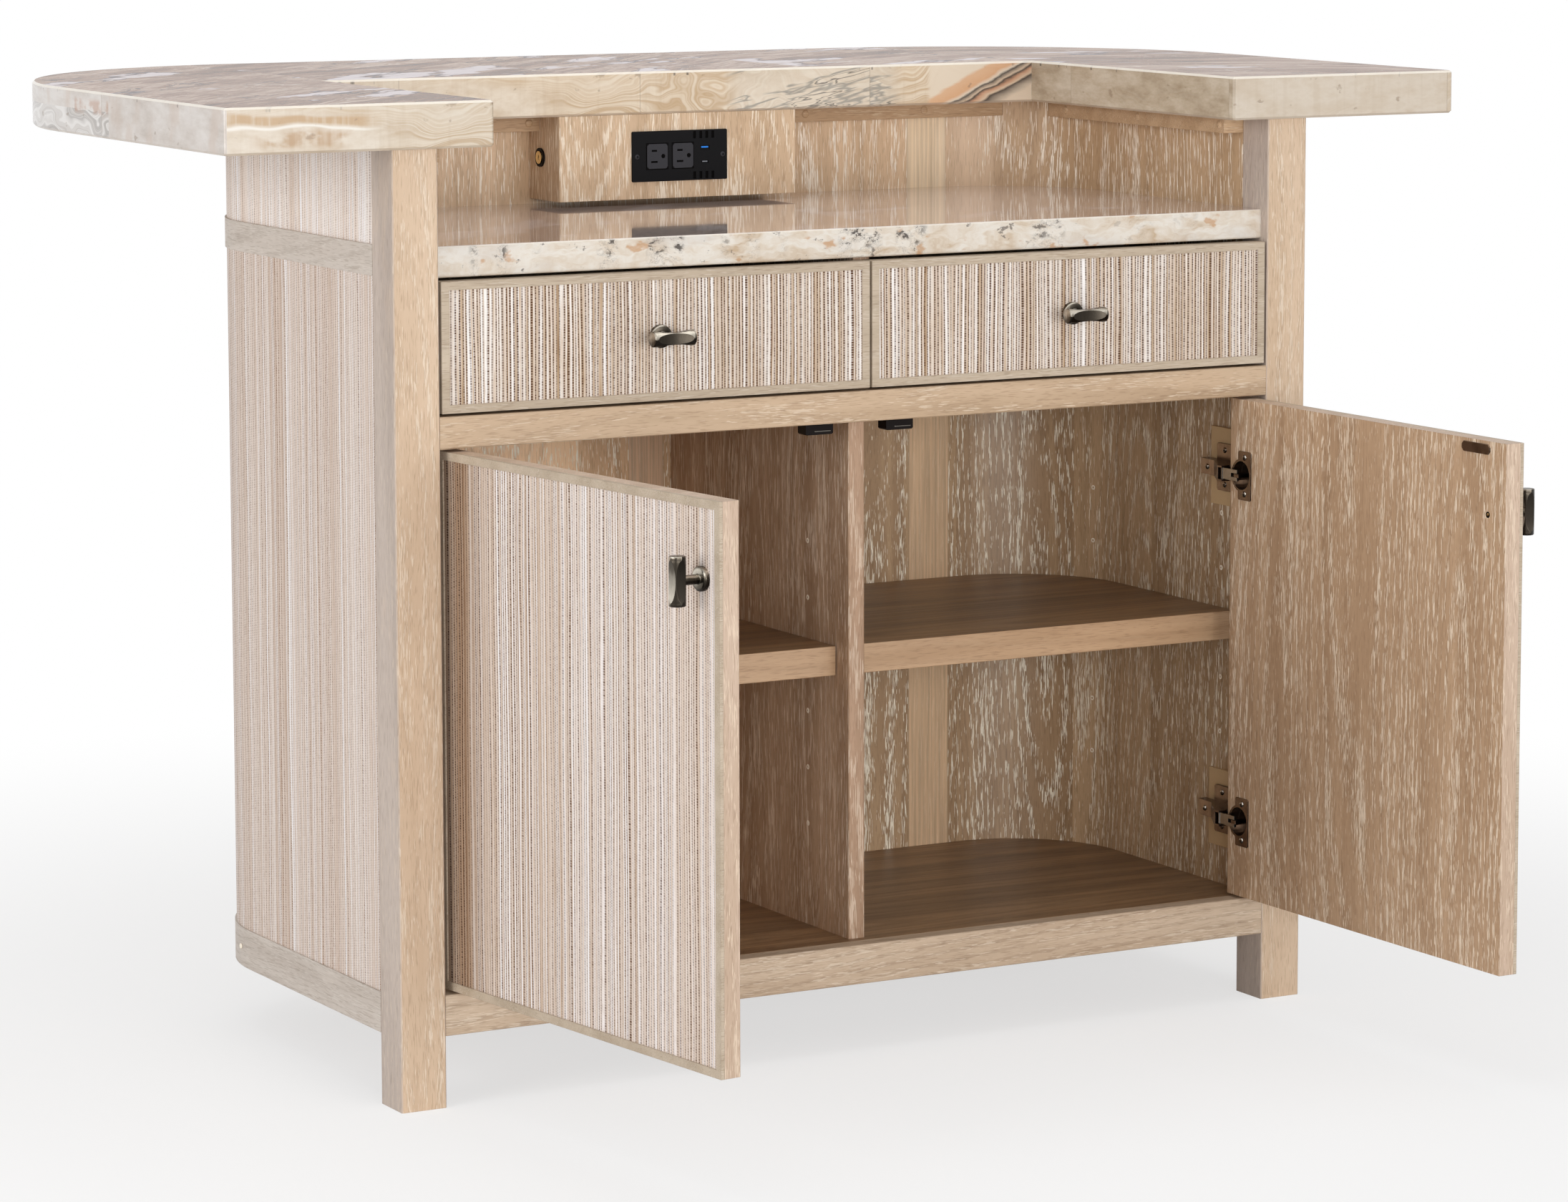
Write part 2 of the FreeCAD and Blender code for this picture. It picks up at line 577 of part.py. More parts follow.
# ---------------------------------------------------------------- pulls
def scooped_bar(axis):
    """Round bar through the origin, scooped on four sides so that its waist is square.

    Each scoop is an arc drawn along the bar and swept across it: it meets the bar's surface near
    the ends and is deepest at the middle, where two neighbours meet in an edge.
    """
    half = PULL_BAR / 2
    bar = prism(BAR_SIDES, PULL_RADIUS, V(0, 0, -half), V(0, 0, 1), PULL_BAR)
    flat = PULL_WAIST / 2
    sink = PULL_RADIUS - flat
    run = half - PULL_ROUND_END
    curve = (run * run + sink * sink) / (2 * sink)
    outline = [V(-PULL_BAR, PULL_BAR, run), V(-PULL_BAR, PULL_BAR, -run)]
    for k in range(SCOOP_STEPS + 1):
        z = run * (2 * k / SCOOP_STEPS - 1)
        outline.append(V(-PULL_BAR, flat + curve - math.sqrt(curve * curve - z * z), z))
    scoop = face_of(outline).extrude(V(2 * PULL_BAR, 0, 0))
    for turn in range(4):
        cutter = scoop.copy()
        cutter.rotate(V(0, 0, 0), V(0, 0, 1), 90 * turn)
        bar = bar.cut(cutter)
    if axis == "x":
        bar.rotate(V(0, 0, 0), V(0, 1, 0), 90)
    return bar


def waisted_pull(bar_along):
    """Pull on a face at y = 0 that looks towards -Y, with its bar along X or Z ("x" or "z")."""
    bar = scooped_bar(bar_along)
    bar.translate(V(0, -PULL_REACH, 0))
    stem = prism(STEM_SIDES, PULL_STEM, V(0, -ROSETTE_THICK, 0), V(0, -1, 0), PULL_REACH - ROSETTE_THICK)
    rosette = rod(ROSETTE_RADIUS, V(0, 0, 0), V(0, -1, 0), ROSETTE_THICK)
    return [bar, stem.cut(bar).Solids[0], rosette]


# ---------------------------------------------------------------- woven fronts
def woven_front(name, x0, x1, z0, z1, face, thick, back_cut=None):
    """A board with a mitred moulding and a woven panel on its front."""
    board = block(x0, x1, face + FRAME_THICK, face + thick, z0, z1)
    if back_cut is not None:
        board = board.cut(back_cut)
    outer = [V(x0, face, z0), V(x1, face, z0), V(x1, face, z1), V(x0, face, z1)]
    inner = [V(x0 + FRAME_WIDTH, face, z0 + FRAME_WIDTH), V(x1 - FRAME_WIDTH, face, z0 + FRAME_WIDTH),
             V(x1 - FRAME_WIDTH, face, z1 - FRAME_WIDTH), V(x0 + FRAME_WIDTH, face, z1 - FRAME_WIDTH)]
    strips = []
    for k in range(4):
        n = (k + 1) % 4
        strips.append(face_of([outer[k], outer[n], inner[n], inner[k]]).extrude(V(0, FRAME_THICK, 0)))
    weave = block(x0 + FRAME_WIDTH, x1 - FRAME_WIDTH, face + PANEL_RECESS, face + FRAME_THICK,
                  z0 + FRAME_WIDTH, z1 - FRAME_WIDTH)
    return {name + "_panel": [board], name + "_frame": strips, name + "_weave": [weave]}


# ---------------------------------------------------------------- doors
def cup_recess(z):
    """Space of one hinge cup in the closed right door."""
    x = DOOR_OUT - CUP_FROM_EDGE
    return prism(CUP_SIDES, CUP_RADIUS, V(x, DOOR_BACK - CUP_DEPTH, z), V(0, 1, 0), CUP_DEPTH + 5)


def hinge_cup(z):
    """Cup with its long flange on the door's inner face and the tongue that the link straddles."""
    x = DOOR_OUT - CUP_FROM_EDGE
    cup = prism(CUP_SIDES, CUP_RADIUS, V(x, DOOR_BACK - CUP_DEPTH, z), V(0, 1, 0), CUP_DEPTH)
    flange_x = x - FLANGE_SHIFT
    flange = block(flange_x - FLANGE_WIDTH / 2, flange_x + FLANGE_WIDTH / 2, DOOR_BACK,
                   DOOR_BACK + FLANGE_THICK, z - FLANGE_LENGTH / 2, z + FLANGE_LENGTH / 2)
    flange = flange.makeChamfer(FLANGE_CORNER, long_edges(flange, 1))
    disc = rod(CUP_RADIUS + CUP_RIM, V(x, DOOR_BACK, z), V(0, 1, 0), FLANGE_THICK)
    body = cup.fuse(flange).fuse(disc).removeSplitter()
    hollow = prism(CUP_SIDES, CUP_RADIUS - CUP_WALL, V(x, DOOR_BACK - CUP_DEPTH + CUP_WALL, z), V(0, 1, 0),
                   CUP_DEPTH + 5)
    body = body.cut(hollow)
    length, height, reach = TONGUE
    tongue = block(x - length / 2, x + length / 2, DOOR_BACK - CUP_DEPTH + CUP_WALL, DOOR_BACK + reach,
                   z - height / 2, z + height / 2)
    return body.fuse(tongue)


def right_door():
    """Every solid of the right door in its closed place, by node name without the side."""
    recess = cup_recess(HINGE_HEIGHTS[0]).fuse(cup_recess(HINGE_HEIGHTS[1]))
    pieces = woven_front("door", DOOR_HALF_GAP, DOOR_OUT, DOOR_BOTTOM, DOOR_TOP, DOOR_FACE, DOOR_THICK,
                         recess)
    knob = waisted_pull("z")
    for shape in knob:
        shape.translate(V(DOOR_HALF_GAP + KNOB_FROM_EDGE, DOOR_FACE + PANEL_RECESS, KNOB_Z))
    pieces["door_knob"] = knob
    x0 = STRIKE_X - STRIKE_SIZE[0] / 2
    z0 = DOOR_TOP - STRIKE_DROP - STRIKE_SIZE[1]
    strike = block(x0, x0 + STRIKE_SIZE[0], DOOR_BACK, DOOR_BACK + STRIKE_SIZE[2], z0, z0 + STRIKE_SIZE[1])
    pieces["strike_plate"] = [strike.makeChamfer(STRIKE_SIZE[1] * 0.3, long_edges(strike, 1))]
    pieces["hinge_cups"] = [hinge_cup(z) for z in HINGE_HEIGHTS]
    return pieces


def doors():
    """Both doors, turned open about their pivots."""
    closed = right_door()
    for side, word, angle in ((1, "right", RIGHT_DOOR_OPEN), (-1, "left", LEFT_DOOR_OPEN)):
        pivot = V(side * PIVOT_X, PIVOT_Y, 0)
        for name, shapes in closed.items():
            for shape in shapes:
                piece = shape.copy() if side > 0 else mirrored(shape)
                piece.rotate(pivot, V(0, 0, 1), side * angle)
                keep(word + "_" + name, piece)


def hinge_side():
    """Arms, mounting plates and pads of one hinge pair on the right wall, and its two links."""
    arms, pads, links = [], [], []
    wall = HALF_OPENING
    pad_w, pad_h, pad_t = HINGE_PAD
    plate_w, plate_h, plate_t = HINGE_PLATE
    for z in HINGE_HEIGHTS:
        pads.append(block(wall - pad_t, wall, LEG, LEG + pad_w, z - pad_h / 2, z + pad_h / 2))
        plate_x = wall - pad_t
        plate_y = LEG + ARM_PLATE_EDGE
        plate = block(plate_x - plate_t, plate_x, plate_y, plate_y + plate_w, z - plate_h / 2, z + plate_h / 2)
        arms.append(plate.makeChamfer(2.0, long_edges(plate, 0)))
        back_x = plate_x - plate_t
        outline = [
            V(back_x, ARM_BACK, 0),
            V(back_x - ARM_HEEL, ARM_BACK, 0),
            V(back_x - ARM_BEND[1], ARM_BACK - ARM_BEND[0], 0),
            V(LINK_X - ARM_NOSE[0], ARM_FRONT + ARM_NOSE[1], 0),
            V(LINK_X - ARM_NOSE[0], ARM_FRONT, 0),
            V(LINK_X + ARM_NOSE[0], ARM_FRONT, 0),
            V(back_x - ARM_NECK[0], ARM_FRONT + ARM_NECK[1], 0),
            V(back_x, LEG, 0),
        ]
        arm = face_of(outline).extrude(V(0, 0, ARM_HEIGHT))
        arm.translate(V(0, 0, z - ARM_HEIGHT / 2))
        slot = LINK_WIDTH / 2 + RUN_CLEAR
        arm = arm.cut(block(LINK_X - LINK_LENGTH, LINK_X + ARM_SLOT_OUT, ARM_FRONT - 1, ARM_FRONT + 8,
                            z - slot, z + slot))
        arms.append(arm.cut(rod(ARM_PIN + 0.05, V(LINK_X, LINK_Y, z - ARM_HEIGHT), V(0, 0, 1), 2 * ARM_HEIGHT)))
        bar = block(LINK_X - LINK_THICK / 2, LINK_X + LINK_THICK / 2, LINK_Y - LINK_LENGTH, LINK_Y,
                    z - LINK_WIDTH / 2, z + LINK_WIDTH / 2)
        knuckle = prism(KNUCKLE_SIDES, KNUCKLE, V(LINK_X, LINK_Y, z - LINK_WIDTH / 2), V(0, 0, 1), LINK_WIDTH)
        pin = rod(ARM_PIN, V(LINK_X, LINK_Y, z - ARM_HEIGHT / 2), V(0, 0, 1), ARM_HEIGHT)
        link = bar.fuse(knuckle).fuse(pin).removeSplitter()
        tip = LINK_Y - LINK_LENGTH
        open_height = TONGUE[1] / 2 + TONGUE_PLAY
        links.append(link.cut(block(LINK_X - LINK_THICK, LINK_X + LINK_THICK, tip - 1, tip + TONGUE_SLOT,
                                    z - open_height, z + open_height)))
    return arms, pads, links


def hinges():
    """Both hinge pairs; each side's links are turned with their door."""
    arms, pads, links = hinge_side()
    keep("hinge_arms", arms, [mirrored(shape) for shape in arms])
    keep("hinge_pads", pads, [mirrored(shape) for shape in pads])
    for side, word, angle in ((1, "right", RIGHT_DOOR_OPEN), (-1, "left", LEFT_DOOR_OPEN)):
        for shape in links:
            piece = shape.copy() if side > 0 else mirrored(shape)
            piece.rotate(V(side * LINK_X, LINK_Y, 0), V(0, 0, 1), side * (angle - 90))
            keep(word + "_hinge_links", piece)


def catches():
    """Two magnetic catches under the panel behind the rail."""
    length, depth, height = CATCH_SIZE
    front = DOOR_BACK + STRIKE_SIZE[2] + 1.0
    for side in (-1, 1):
        middle = side * CATCH_X
        case = block(middle - length / 2, middle + length / 2, front, front + depth,
                     CATCH_Z, DRAWER_RAIL_BOTTOM)
        keep("magnetic_catches", case.makeChamfer(1.5, long_edges(case, 1)))


# ---------------------------------------------------------------- drawers
def channel(x_wall, inward, depth, half_height, z, y0, y1):
    """C-section slide member: its web is at x_wall and its flanges point inward (+1 or -1)."""
    x_web = x_wall + inward * SLIDE_SHEET
    x0, x1 = sorted((x_wall, x_web))
    strips = [block(x0, x1, y0, y1, z - half_height, z + half_height)]
    x0, x1 = sorted((x_web, x_wall + inward * depth))
    for rise in (-1, 1):
        z0, z1 = sorted((z + rise * half_height, z + rise * (half_height - SLIDE_SHEET)))
        strips.append(block(x0, x1, y0, y1, z0, z1))
    return strips


def right_drawer():
    """Solids of the right drawer and its slides, by node name without the side."""
    pieces = woven_front("drawer", DRAWER_HALF_GAP, DRAWER_OUT, DRAWER_BOTTOM, DRAWER_TOP, RAIL_SETBACK,
                         DRAWER_FRONT_THICK)
    y0 = DRAWER_BACK_FACE
    y1 = y0 + BOX_LENGTH
    boards = [
        block(BOX_X0, BOX_X0 + BOX_BOARD, y0, y1, BOX_Z0, BOX_Z1),
        block(BOX_X1 - BOX_BOARD, BOX_X1, y0, y1, BOX_Z0, BOX_Z1),
        block(BOX_X0 + BOX_BOARD, BOX_X1 - BOX_BOARD, y0, y0 + BOX_BOARD, BOX_Z0, BOX_Z1),
        block(BOX_X0 + BOX_BOARD, BOX_X1 - BOX_BOARD, y1 - BOX_BOARD, y1, BOX_Z0, BOX_Z1),
        block(BOX_X0 + BOX_BOARD, BOX_X1 - BOX_BOARD, y0 + BOX_BOARD, y1 - BOX_BOARD,
              BOX_Z0 + BOX_BOTTOM_LIFT, BOX_Z0 + BOX_BOTTOM_LIFT + BOX_BOTTOM),
    ]
    pieces["drawer_box"] = boards
    pull = waisted_pull("x")
    centre = (DRAWER_HALF_GAP + DRAWER_OUT) / 2
    for shape in pull:
        shape.translate(V(centre, RAIL_SETBACK + PANEL_RECESS, (DRAWER_BOTTOM + DRAWER_TOP) / 2))
    pieces["drawer_pull"] = pull

    z = (BOX_Z0 + BOX_Z1) / 2
    start = RAIL_SETBACK + RAIL_THICK + 1
    end = start + SLIDE_LENGTH
    rails, carriers, runners = [], [], []
    for wall, inward in ((DIVIDER_THICK / 2, 1), (HALF_OPENING, -1)):
        rails.extend(channel(wall, inward, SLIDE_GAP - 3, SLIDE_HEIGHT / 2, z, start, end))
        web = wall + inward * (SLIDE_SHEET + RUN_CLEAR)
        half = SLIDE_HEIGHT / 2 - SLIDE_STEP / 2
        carriers.extend(channel(web, inward, SLIDE_GAP - 4, half - 0.3, z, start + 2, end))
        far = wall + inward * SLIDE_GAP
        near = web + inward * (SLIDE_SHEET + RUN_CLEAR)
        x0, x1 = sorted((near, far))
        half = SLIDE_HEIGHT / 2 - SLIDE_STEP - 0.4
        runners.append(block(x0, x1, start + 4, end, z - half, z + half))
    pieces["slide_runners"] = runners
    pieces["slide_carriers"] = carriers
    return pieces, rails


def drawers():
    """Both drawers, shut, and the slide members fixed to the body."""
    pieces, rails = right_drawer()
    keep("slide_rails", rails, [mirrored(shape) for shape in rails])
    for side, word in ((1, "right"), (-1, "left")):
        for name, shapes in pieces.items():
            for shape in shapes:
                keep(word + "_" + name, shape.copy() if side > 0 else mirrored(shape))


# ---------------------------------------------------------------- assembly
def build():
    """Make every node."""
    keep("bar_top", bar_top())
    keep("left_front_leg", leg(-1))
    keep("right_front_leg", leg(1))
    keep("rear_feet", rear_foot(-1), rear_foot(1))
    body_walls()
    linings()
    keep("work_top", work_top())
    keep("drawer_rail", rail(DRAWER_RAIL_BOTTOM, DRAWER_RAIL_HEIGHT))
    keep("bottom_rail", rail(BODY_BOTTOM, BOTTOM_RAIL_HEIGHT))
    keep("cabinet_floor", cabinet_floor())
    keep("dust_panel", dust_panel())
    dividers()
    keep("left_shelf", shelf(-1))
    keep("right_shelf", shelf(1))
    shelf_pins()
    cleats()
    keep("power_box", power_box())
    outlet_plate()
    power_button()
    catches()
    hinges()
    doors()
    drawers()


def write_out():
    """Move each node so that the origin is the middle of the footprint, and write its STEP file."""
    os.makedirs("parts", exist_ok=True)
    for node, solids in PARTS.items():
        whole = Part.makeCompound(solids) if len(solids) > 1 else solids[0].copy()
        whole.translate(V(0, -ORIGIN_Y, 0))
        whole.exportStep("parts/" + node + ".step")


build()
write_out()
print(len(PARTS), "nodes,", sum(len(solids) for solids in PARTS.values()), "solids")
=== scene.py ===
import bpy
import bmesh
import math
from mathutils import Matrix, Vector


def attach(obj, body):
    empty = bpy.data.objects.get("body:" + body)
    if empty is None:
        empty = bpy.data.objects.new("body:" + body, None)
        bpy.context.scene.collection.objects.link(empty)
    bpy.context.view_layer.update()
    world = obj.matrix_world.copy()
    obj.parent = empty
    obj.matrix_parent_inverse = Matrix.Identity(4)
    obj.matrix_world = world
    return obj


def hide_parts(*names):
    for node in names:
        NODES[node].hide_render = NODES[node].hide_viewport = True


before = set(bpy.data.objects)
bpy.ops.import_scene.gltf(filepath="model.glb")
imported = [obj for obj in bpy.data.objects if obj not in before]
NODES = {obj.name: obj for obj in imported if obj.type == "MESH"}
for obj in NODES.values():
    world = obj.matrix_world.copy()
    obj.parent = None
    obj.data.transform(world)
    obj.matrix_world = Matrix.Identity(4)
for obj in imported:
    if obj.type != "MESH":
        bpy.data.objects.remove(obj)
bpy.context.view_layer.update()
ORIGIN_Y = 0.1671123          # the frame's y = 0 in the design's metres
SIGN = {"left": -1, "right": 1}

# doors at rest, from the photograph; the hinge axis and depths are design millimetres
DOOR_ANGLE = {"left": 83.0, "right": 91.0}
PIVOT_X, PIVOT_Y = 500.4, 9.3
WEAVE_FACE, DOOR_BACK, FLANGE_FACE = 2.2, 23.7, 24.9

# levels in the frame's metres: the middle of each stone's edge, and the level between the blue
# upper charging port and the grey lower one
BAR_MIDDLE, WORK_MIDDLE, PORTS_APART = 1.0425, 0.8975, 0.969

# the slabs seen above and the edge strips, in metres: their length, and how far to the left of
# zero their first joint lies
SLAB_LENGTH, SLAB_START = 0.305, 1.065
STRIP_LENGTH, STRIP_START = 0.303, 3.02

# rounding of the edges, in metres
STONE_EDGE, WOOD_EDGE, METAL_EDGE, PLASTIC_EDGE = 0.0012, 0.0010, 0.0006, 0.0004

# half width, back and corner radius of each wrapped wall
WALL = (0.570, 0.592 - ORIGIN_Y, 0.185)
BAY = (0.518, 0.455 - ORIGIN_Y, 0.140)
NICHE = (0.518, 0.500 - ORIGIN_Y, 0.150)
HALVES_APART = 7.3            # keeps the grain of a wall's two halves from mirroring

RING_PULL = 0.07              # how much the growth rings gather the pores
STITCH = 0.0027               # rise of one cross thread in the weave
DOOR_SEED = 0.9               # sets the doors' strands apart from the other weaves'
HINGE_SHADE_FULL, HINGE_SHADE_FADE = 0.02, 0.08       # browner strands from a door's hinge, then fading: painted shade
BRUSH, PEBBLE = 300.0, 900.0  # metal's brushing and plastic's pebbles, per metre
COAT_ROUGH = 0.03


# ---------------------------------------------------------------- node helpers
def srgb(r, g, b):
    """Linear colour from 0-255 values."""
    out = []
    for c in (r, g, b):
        c = c / 255
        out.append(c / 12.92 if c <= 0.04045 else ((c + 0.055) / 1.055) ** 2.4)
    return tuple(out) + (1.0,)


def shade(color, k):
    """Linear colour of a 0-255 colour made k times as bright."""
    return srgb(*[max(0, min(255, c * k)) for c in color])


def between(a, b, t):
    """The 0-255 colour a share t of the way from a to b."""
    return tuple(p + (q - p) * t for p, q in zip(a, b))


def linear(color):
    """Linear colour of a 0-255 triple; anything else stays as it is."""
    return srgb(*color) if isinstance(color, tuple) and len(color) == 3 else color


class Field:
    """A node output that takes part in sums."""

    def __init__(self, g, out):
        self.g, self.out = g, out

    def __add__(self, o):
        return self.g.math("ADD", self, o)

    def __sub__(self, o):
        return self.g.math("SUBTRACT", self, o)

    def __rsub__(self, o):
        return self.g.math("SUBTRACT", o, self)

    def __mul__(self, o):
        return self.g.math("MULTIPLY", self, o)

    def __truediv__(self, o):
        return self.g.math("DIVIDE", self, o)

    def __neg__(self):
        return self.g.math("MULTIPLY", self, -1.0)


class Mat:
    """A node material with short calls for the usual nodes.

    Noise scales are per metre, and triples are 0-255 colours.
    """

    def __init__(self, name):
        self.mat = bpy.data.materials.new(name)
        self.mat.use_nodes = True
        self.nt = self.mat.node_tree
        self.nt.nodes.clear()
        self.end = self.new("OutputMaterial")
        self.bsdf = self.new("BsdfPrincipled")
        self.nt.links.new(self.bsdf.outputs[0], self.end.inputs[0])

    def new(self, kind):
        return self.nt.nodes.new("ShaderNode" + kind)

    def put(self, socket, value):
        if isinstance(value, Field):
            self.nt.links.new(value.out, socket)
        elif value is not None:
            socket.default_value = value

    def place(self):
        """Object-space x, y, z in metres."""
        return self.split(Field(self, self.new("TexCoord").outputs["Object"]))

    def normal(self):
        """Object-space normal, which stays with the piece when its body turns."""
        return self.split(Field(self, self.new("TexCoord").outputs["Normal"]))

    def split(self, vec):
        n = self.new("SeparateXYZ")
        self.put(n.inputs[0], vec)
        return [Field(self, out) for out in n.outputs]

    def vec(self, x, y, z):
        n = self.new("CombineXYZ")
        for s, v in zip(n.inputs, (x, y, z)):
            self.put(s, v)
        return Field(self, n.outputs[0])

    def math(self, op, a, b=None):
        n = self.new("Math")
        n.operation = op
        for s, v in zip(n.inputs, (a, b)):
            self.put(s, v)
        return Field(self, n.outputs[0])

    def abs(self, a):
        return self.math("ABSOLUTE", a)

    def sin(self, a):
        return self.math("SINE", a)

    def floor(self, a):
        return self.math("FLOOR", a)

    def low(self, a, b):
        return self.math("MINIMUM", a, b)

    def high(self, a, b):
        return self.math("MAXIMUM", a, b)

    def under(self, a, b):
        return self.math("LESS_THAN", a, b)

    def over(self, a, b):
        return self.math("GREATER_THAN", a, b)

    def cloudy(self, dimensions, key, at, detail, rough):
        """A noise texture that reads its place at the socket called key."""
        n = self.new("TexNoise")
        n.noise_dimensions = dimensions
        self.put(n.inputs[key], at)
        n.inputs["Scale"].default_value = 1.0
        n.inputs["Detail"].default_value = detail
        n.inputs["Roughness"].default_value = rough
        return Field(self, n.outputs["Fac"])

    def noise(self, vec, detail=2.0, rough=0.5):
        return self.cloudy("3D", "Vector", vec, detail, rough)

    def noise1(self, w, detail, rough=0.5):
        """Noise along one number."""
        return self.cloudy("1D", "W", w, detail, rough)

    def white(self, a, b):
        """A number of its own for each pair a, b."""
        n = self.new("TexWhiteNoise")
        n.noise_dimensions = "3D"
        self.put(n.inputs["Vector"], self.vec(a, b, 0.0))
        return Field(self, n.outputs["Value"])

    def ramp(self, fac, *stops):
        n = self.new("ValToRGB")
        els = n.color_ramp.elements
        while len(els) < len(stops):
            els.new(0.5)
        for e, (pos, col) in zip(els, stops):
            e.position = pos
            e.color = srgb(*col)
        self.put(n.inputs[0], fac)
        return Field(self, n.outputs[0])

    def step(self, fac, lo, hi):
        """Smooth rise from 0 at lo to 1 at hi."""
        n = self.new("MapRange")
        n.interpolation_type = "SMOOTHSTEP"
        self.put(n.inputs[0], fac)
        n.inputs[1].default_value = lo
        n.inputs[2].default_value = hi
        return Field(self, n.outputs[0])

    def span(self, a, lo, hi, soft):
        """1 between lo and hi, with soft ends."""
        return self.step(a, lo - soft, lo + soft) * (1.0 - self.step(a, hi - soft, hi + soft))

    def line(self, a, at, width):
        """1 where a is near at, falling to 0 over width."""
        return 1.0 - self.step(self.abs(a - at), 0.0, width)

    def mix(self, fac, a, b, mode="MIX"):
        n = self.new("Mix")
        n.data_type = "RGBA"
        n.blend_type = mode
        self.put(n.inputs[0], fac)
        self.put(n.inputs[6], linear(a))
        self.put(n.inputs[7], linear(b))
        return Field(self, n.outputs[2])

    def bump(self, height, dist, strength, edge=0.0):
        """Bump, on top of edges rounded by edge metres."""
        n = self.new("Bump")
        n.inputs["Strength"].default_value = strength
        n.inputs["Distance"].default_value = dist
        self.put(n.inputs["Height"], height)
        if edge:
            self.nt.links.new(self.eased(edge), n.inputs["Normal"])
        self.nt.links.new(n.outputs[0], self.bsdf.inputs["Normal"])

    def eased(self, edge):
        """A normal that rounds the edges by edge metres."""
        n = self.new("Bevel")
        n.samples = 4
        n.inputs[0].default_value = edge
        return n.outputs[0]

    def finish(self, color, rough, metal=0.0, spec=0.5, coat=0.0):
        self.put(self.bsdf.inputs["Base Color"], color)
        self.put(self.bsdf.inputs["Roughness"], rough)
        self.bsdf.inputs["Metallic"].default_value = metal
        self.put(self.bsdf.inputs["Specular IOR Level"], spec)
        self.put(self.bsdf.inputs["Coat Weight"], coat)
        self.bsdf.inputs["Coat Roughness"].default_value = COAT_ROUGH
        return self.mat


def perimeter(g, x, y, half, back, radius):
    """Distance round a wall with round back corners; its two halves lie far apart."""
    px = g.abs(x) - (half - radius)
    py = y - (back - radius)
    turn = g.math("ARCTAN2", g.high(py, 0.0), g.high(px, 1e-4)) * radius
    return g.low(py, 0.0) + turn - g.low(px, 0.0) + g.under(x, 0.0) * HALVES_APART


# ---------------------------------------------------------------- wood
def oak(name, light, dark, pore, grain="z", wrap=None, seed=0.0, pores=0.6, cover=0.60,
        figure=0.25, rings=300.0, long=1.0, clouds=0.0, leaves=0.0, strips=(), faces=None,
        painted_shade=None, rough=0.5, spec=0.3):
    """Cerused oak: pale pores in wavy files along the grain, soft figure and tone changes.

    pores is the pores' strength, and a higher cover gives fewer of them; long stretches them.
    leaves is a veneer leaf's width, strips are cover strips as (x0, x1, colour), faces is
    (axes, light, dark) for faces that look along those axes, whose other tone on the legs and
    shelves is painted light and shade, and dim is (x0, x1, tint), a painted shade that darkens
    the wood beyond a place.
    """
    g = Mat(name)
    x, y, z = g.place()
    if wrap:
        u = perimeter(g, x, y, *wrap)
        across, depth, along = (u, 0.0, z) if grain == "z" else (z, 0.0, u)
    else:
        across, depth, along = {"z": (x, y, z), "x": (z, y, x)}[grain]
    across = across + seed
    if leaves:
        # each leaf has its own tone and starts elsewhere in the log
        pick = g.white(g.floor(across / leaves), 2.2)
        along = along + pick * 3.0
    wav = (g.noise(g.vec(across * 5.0, 0.0, along * 2.6), 1.0) - 0.5) * 0.018
    qa = across + wav
    qd = depth + wav if isinstance(depth, Field) else wav

    def field(per_metre_across, per_metre_along, detail=1.0, roughness=0.5):
        spot = g.vec(qa * per_metre_across, qd * per_metre_across, along * per_metre_along)
        return g.noise(spot, detail, roughness)

    tone = field(34, 1.7, 3.0, 0.6)
    if leaves:
        tone = tone + (pick - 0.5) * 0.35
    col = g.mix(g.step(tone, 0.30, 0.70), dark, light)
    if faces:
        # faces that look another way have another tone and fewer pores; on the legs and shelves
        # that tone is painted light and shade
        axes, face_light, face_dark = faces
        n = g.normal()
        turned = g.abs(n["xyz".index(axes[0])])
        for letter in axes[1:]:
            turned = g.high(turned, g.abs(n["xyz".index(letter)]))
        turned = g.step(turned, 0.55, 0.8)
        col = g.mix(turned, col, g.mix(g.step(tone, 0.34, 0.66), face_dark, face_light))
    ring = g.sin(field(5.0, 0.5, 0.5) * rings)
    figured = g.step(ring, 0.1, 1.0) * figure
    if faces:
        figured = figured * (1.0 - turned * 0.8)
    col = g.mix(figured, col, (204, 196, 188), "MULTIPLY")
    if painted_shade:
        # painted shade: beyond a place the wood is darker, and its pores are not
        lo, hi, tint = painted_shade
        col = g.mix(g.step(x, lo, hi), col, tint, "MULTIPLY")
    dash = field(780, 52 / long, 1.5, 0.7)
    patch = field(40, 4.0, 2.0)
    mask = g.step(dash + (patch - 0.5) * 0.30 + ring * RING_PULL, cover, cover + 0.035)
    if faces:
        mask = mask * (1.0 - turned * 0.5)
    col = g.mix(mask * pores, col, pore)
    tick = field(900, 60)
    col = g.mix(g.step(tick, 0.54, 0.68) * 0.4, col, (192, 180, 168), "MULTIPLY")
    if clouds:
        fog = field(24, 10, 4.0, 0.65)
        col = g.mix(g.step(fog, 0.52, 0.68) * clouds, col, shade(light, 1.10))
    for lo, hi, tint in strips:
        # plain cover strip on the back wall, with a quiet grain and a dark rim of its own
        band = g.span(x, lo, hi, 0.0005) * g.over(y, 0.2)
        fibre = g.noise(g.vec(x * 320.0, 0.0, z * 6.0), 3.0, 0.6)
        soft = g.mix(g.step(fibre, 0.32, 0.66), shade(tint, 0.90), shade(tint, 1.05))
        rim = g.under(g.low(g.abs(x - lo), g.abs(x - hi)), 0.0008)
        col = g.mix(band * 0.92, col, g.mix(rim * 0.4, soft, shade(tint, 0.6)))
        mask = mask * (1.0 - band)
    g.bump(0.5 - mask * 0.5, 0.0005, 0.30, edge=WOOD_EDGE)
    return g.finish(col, mask * 0.15 + rough, spec=spec)


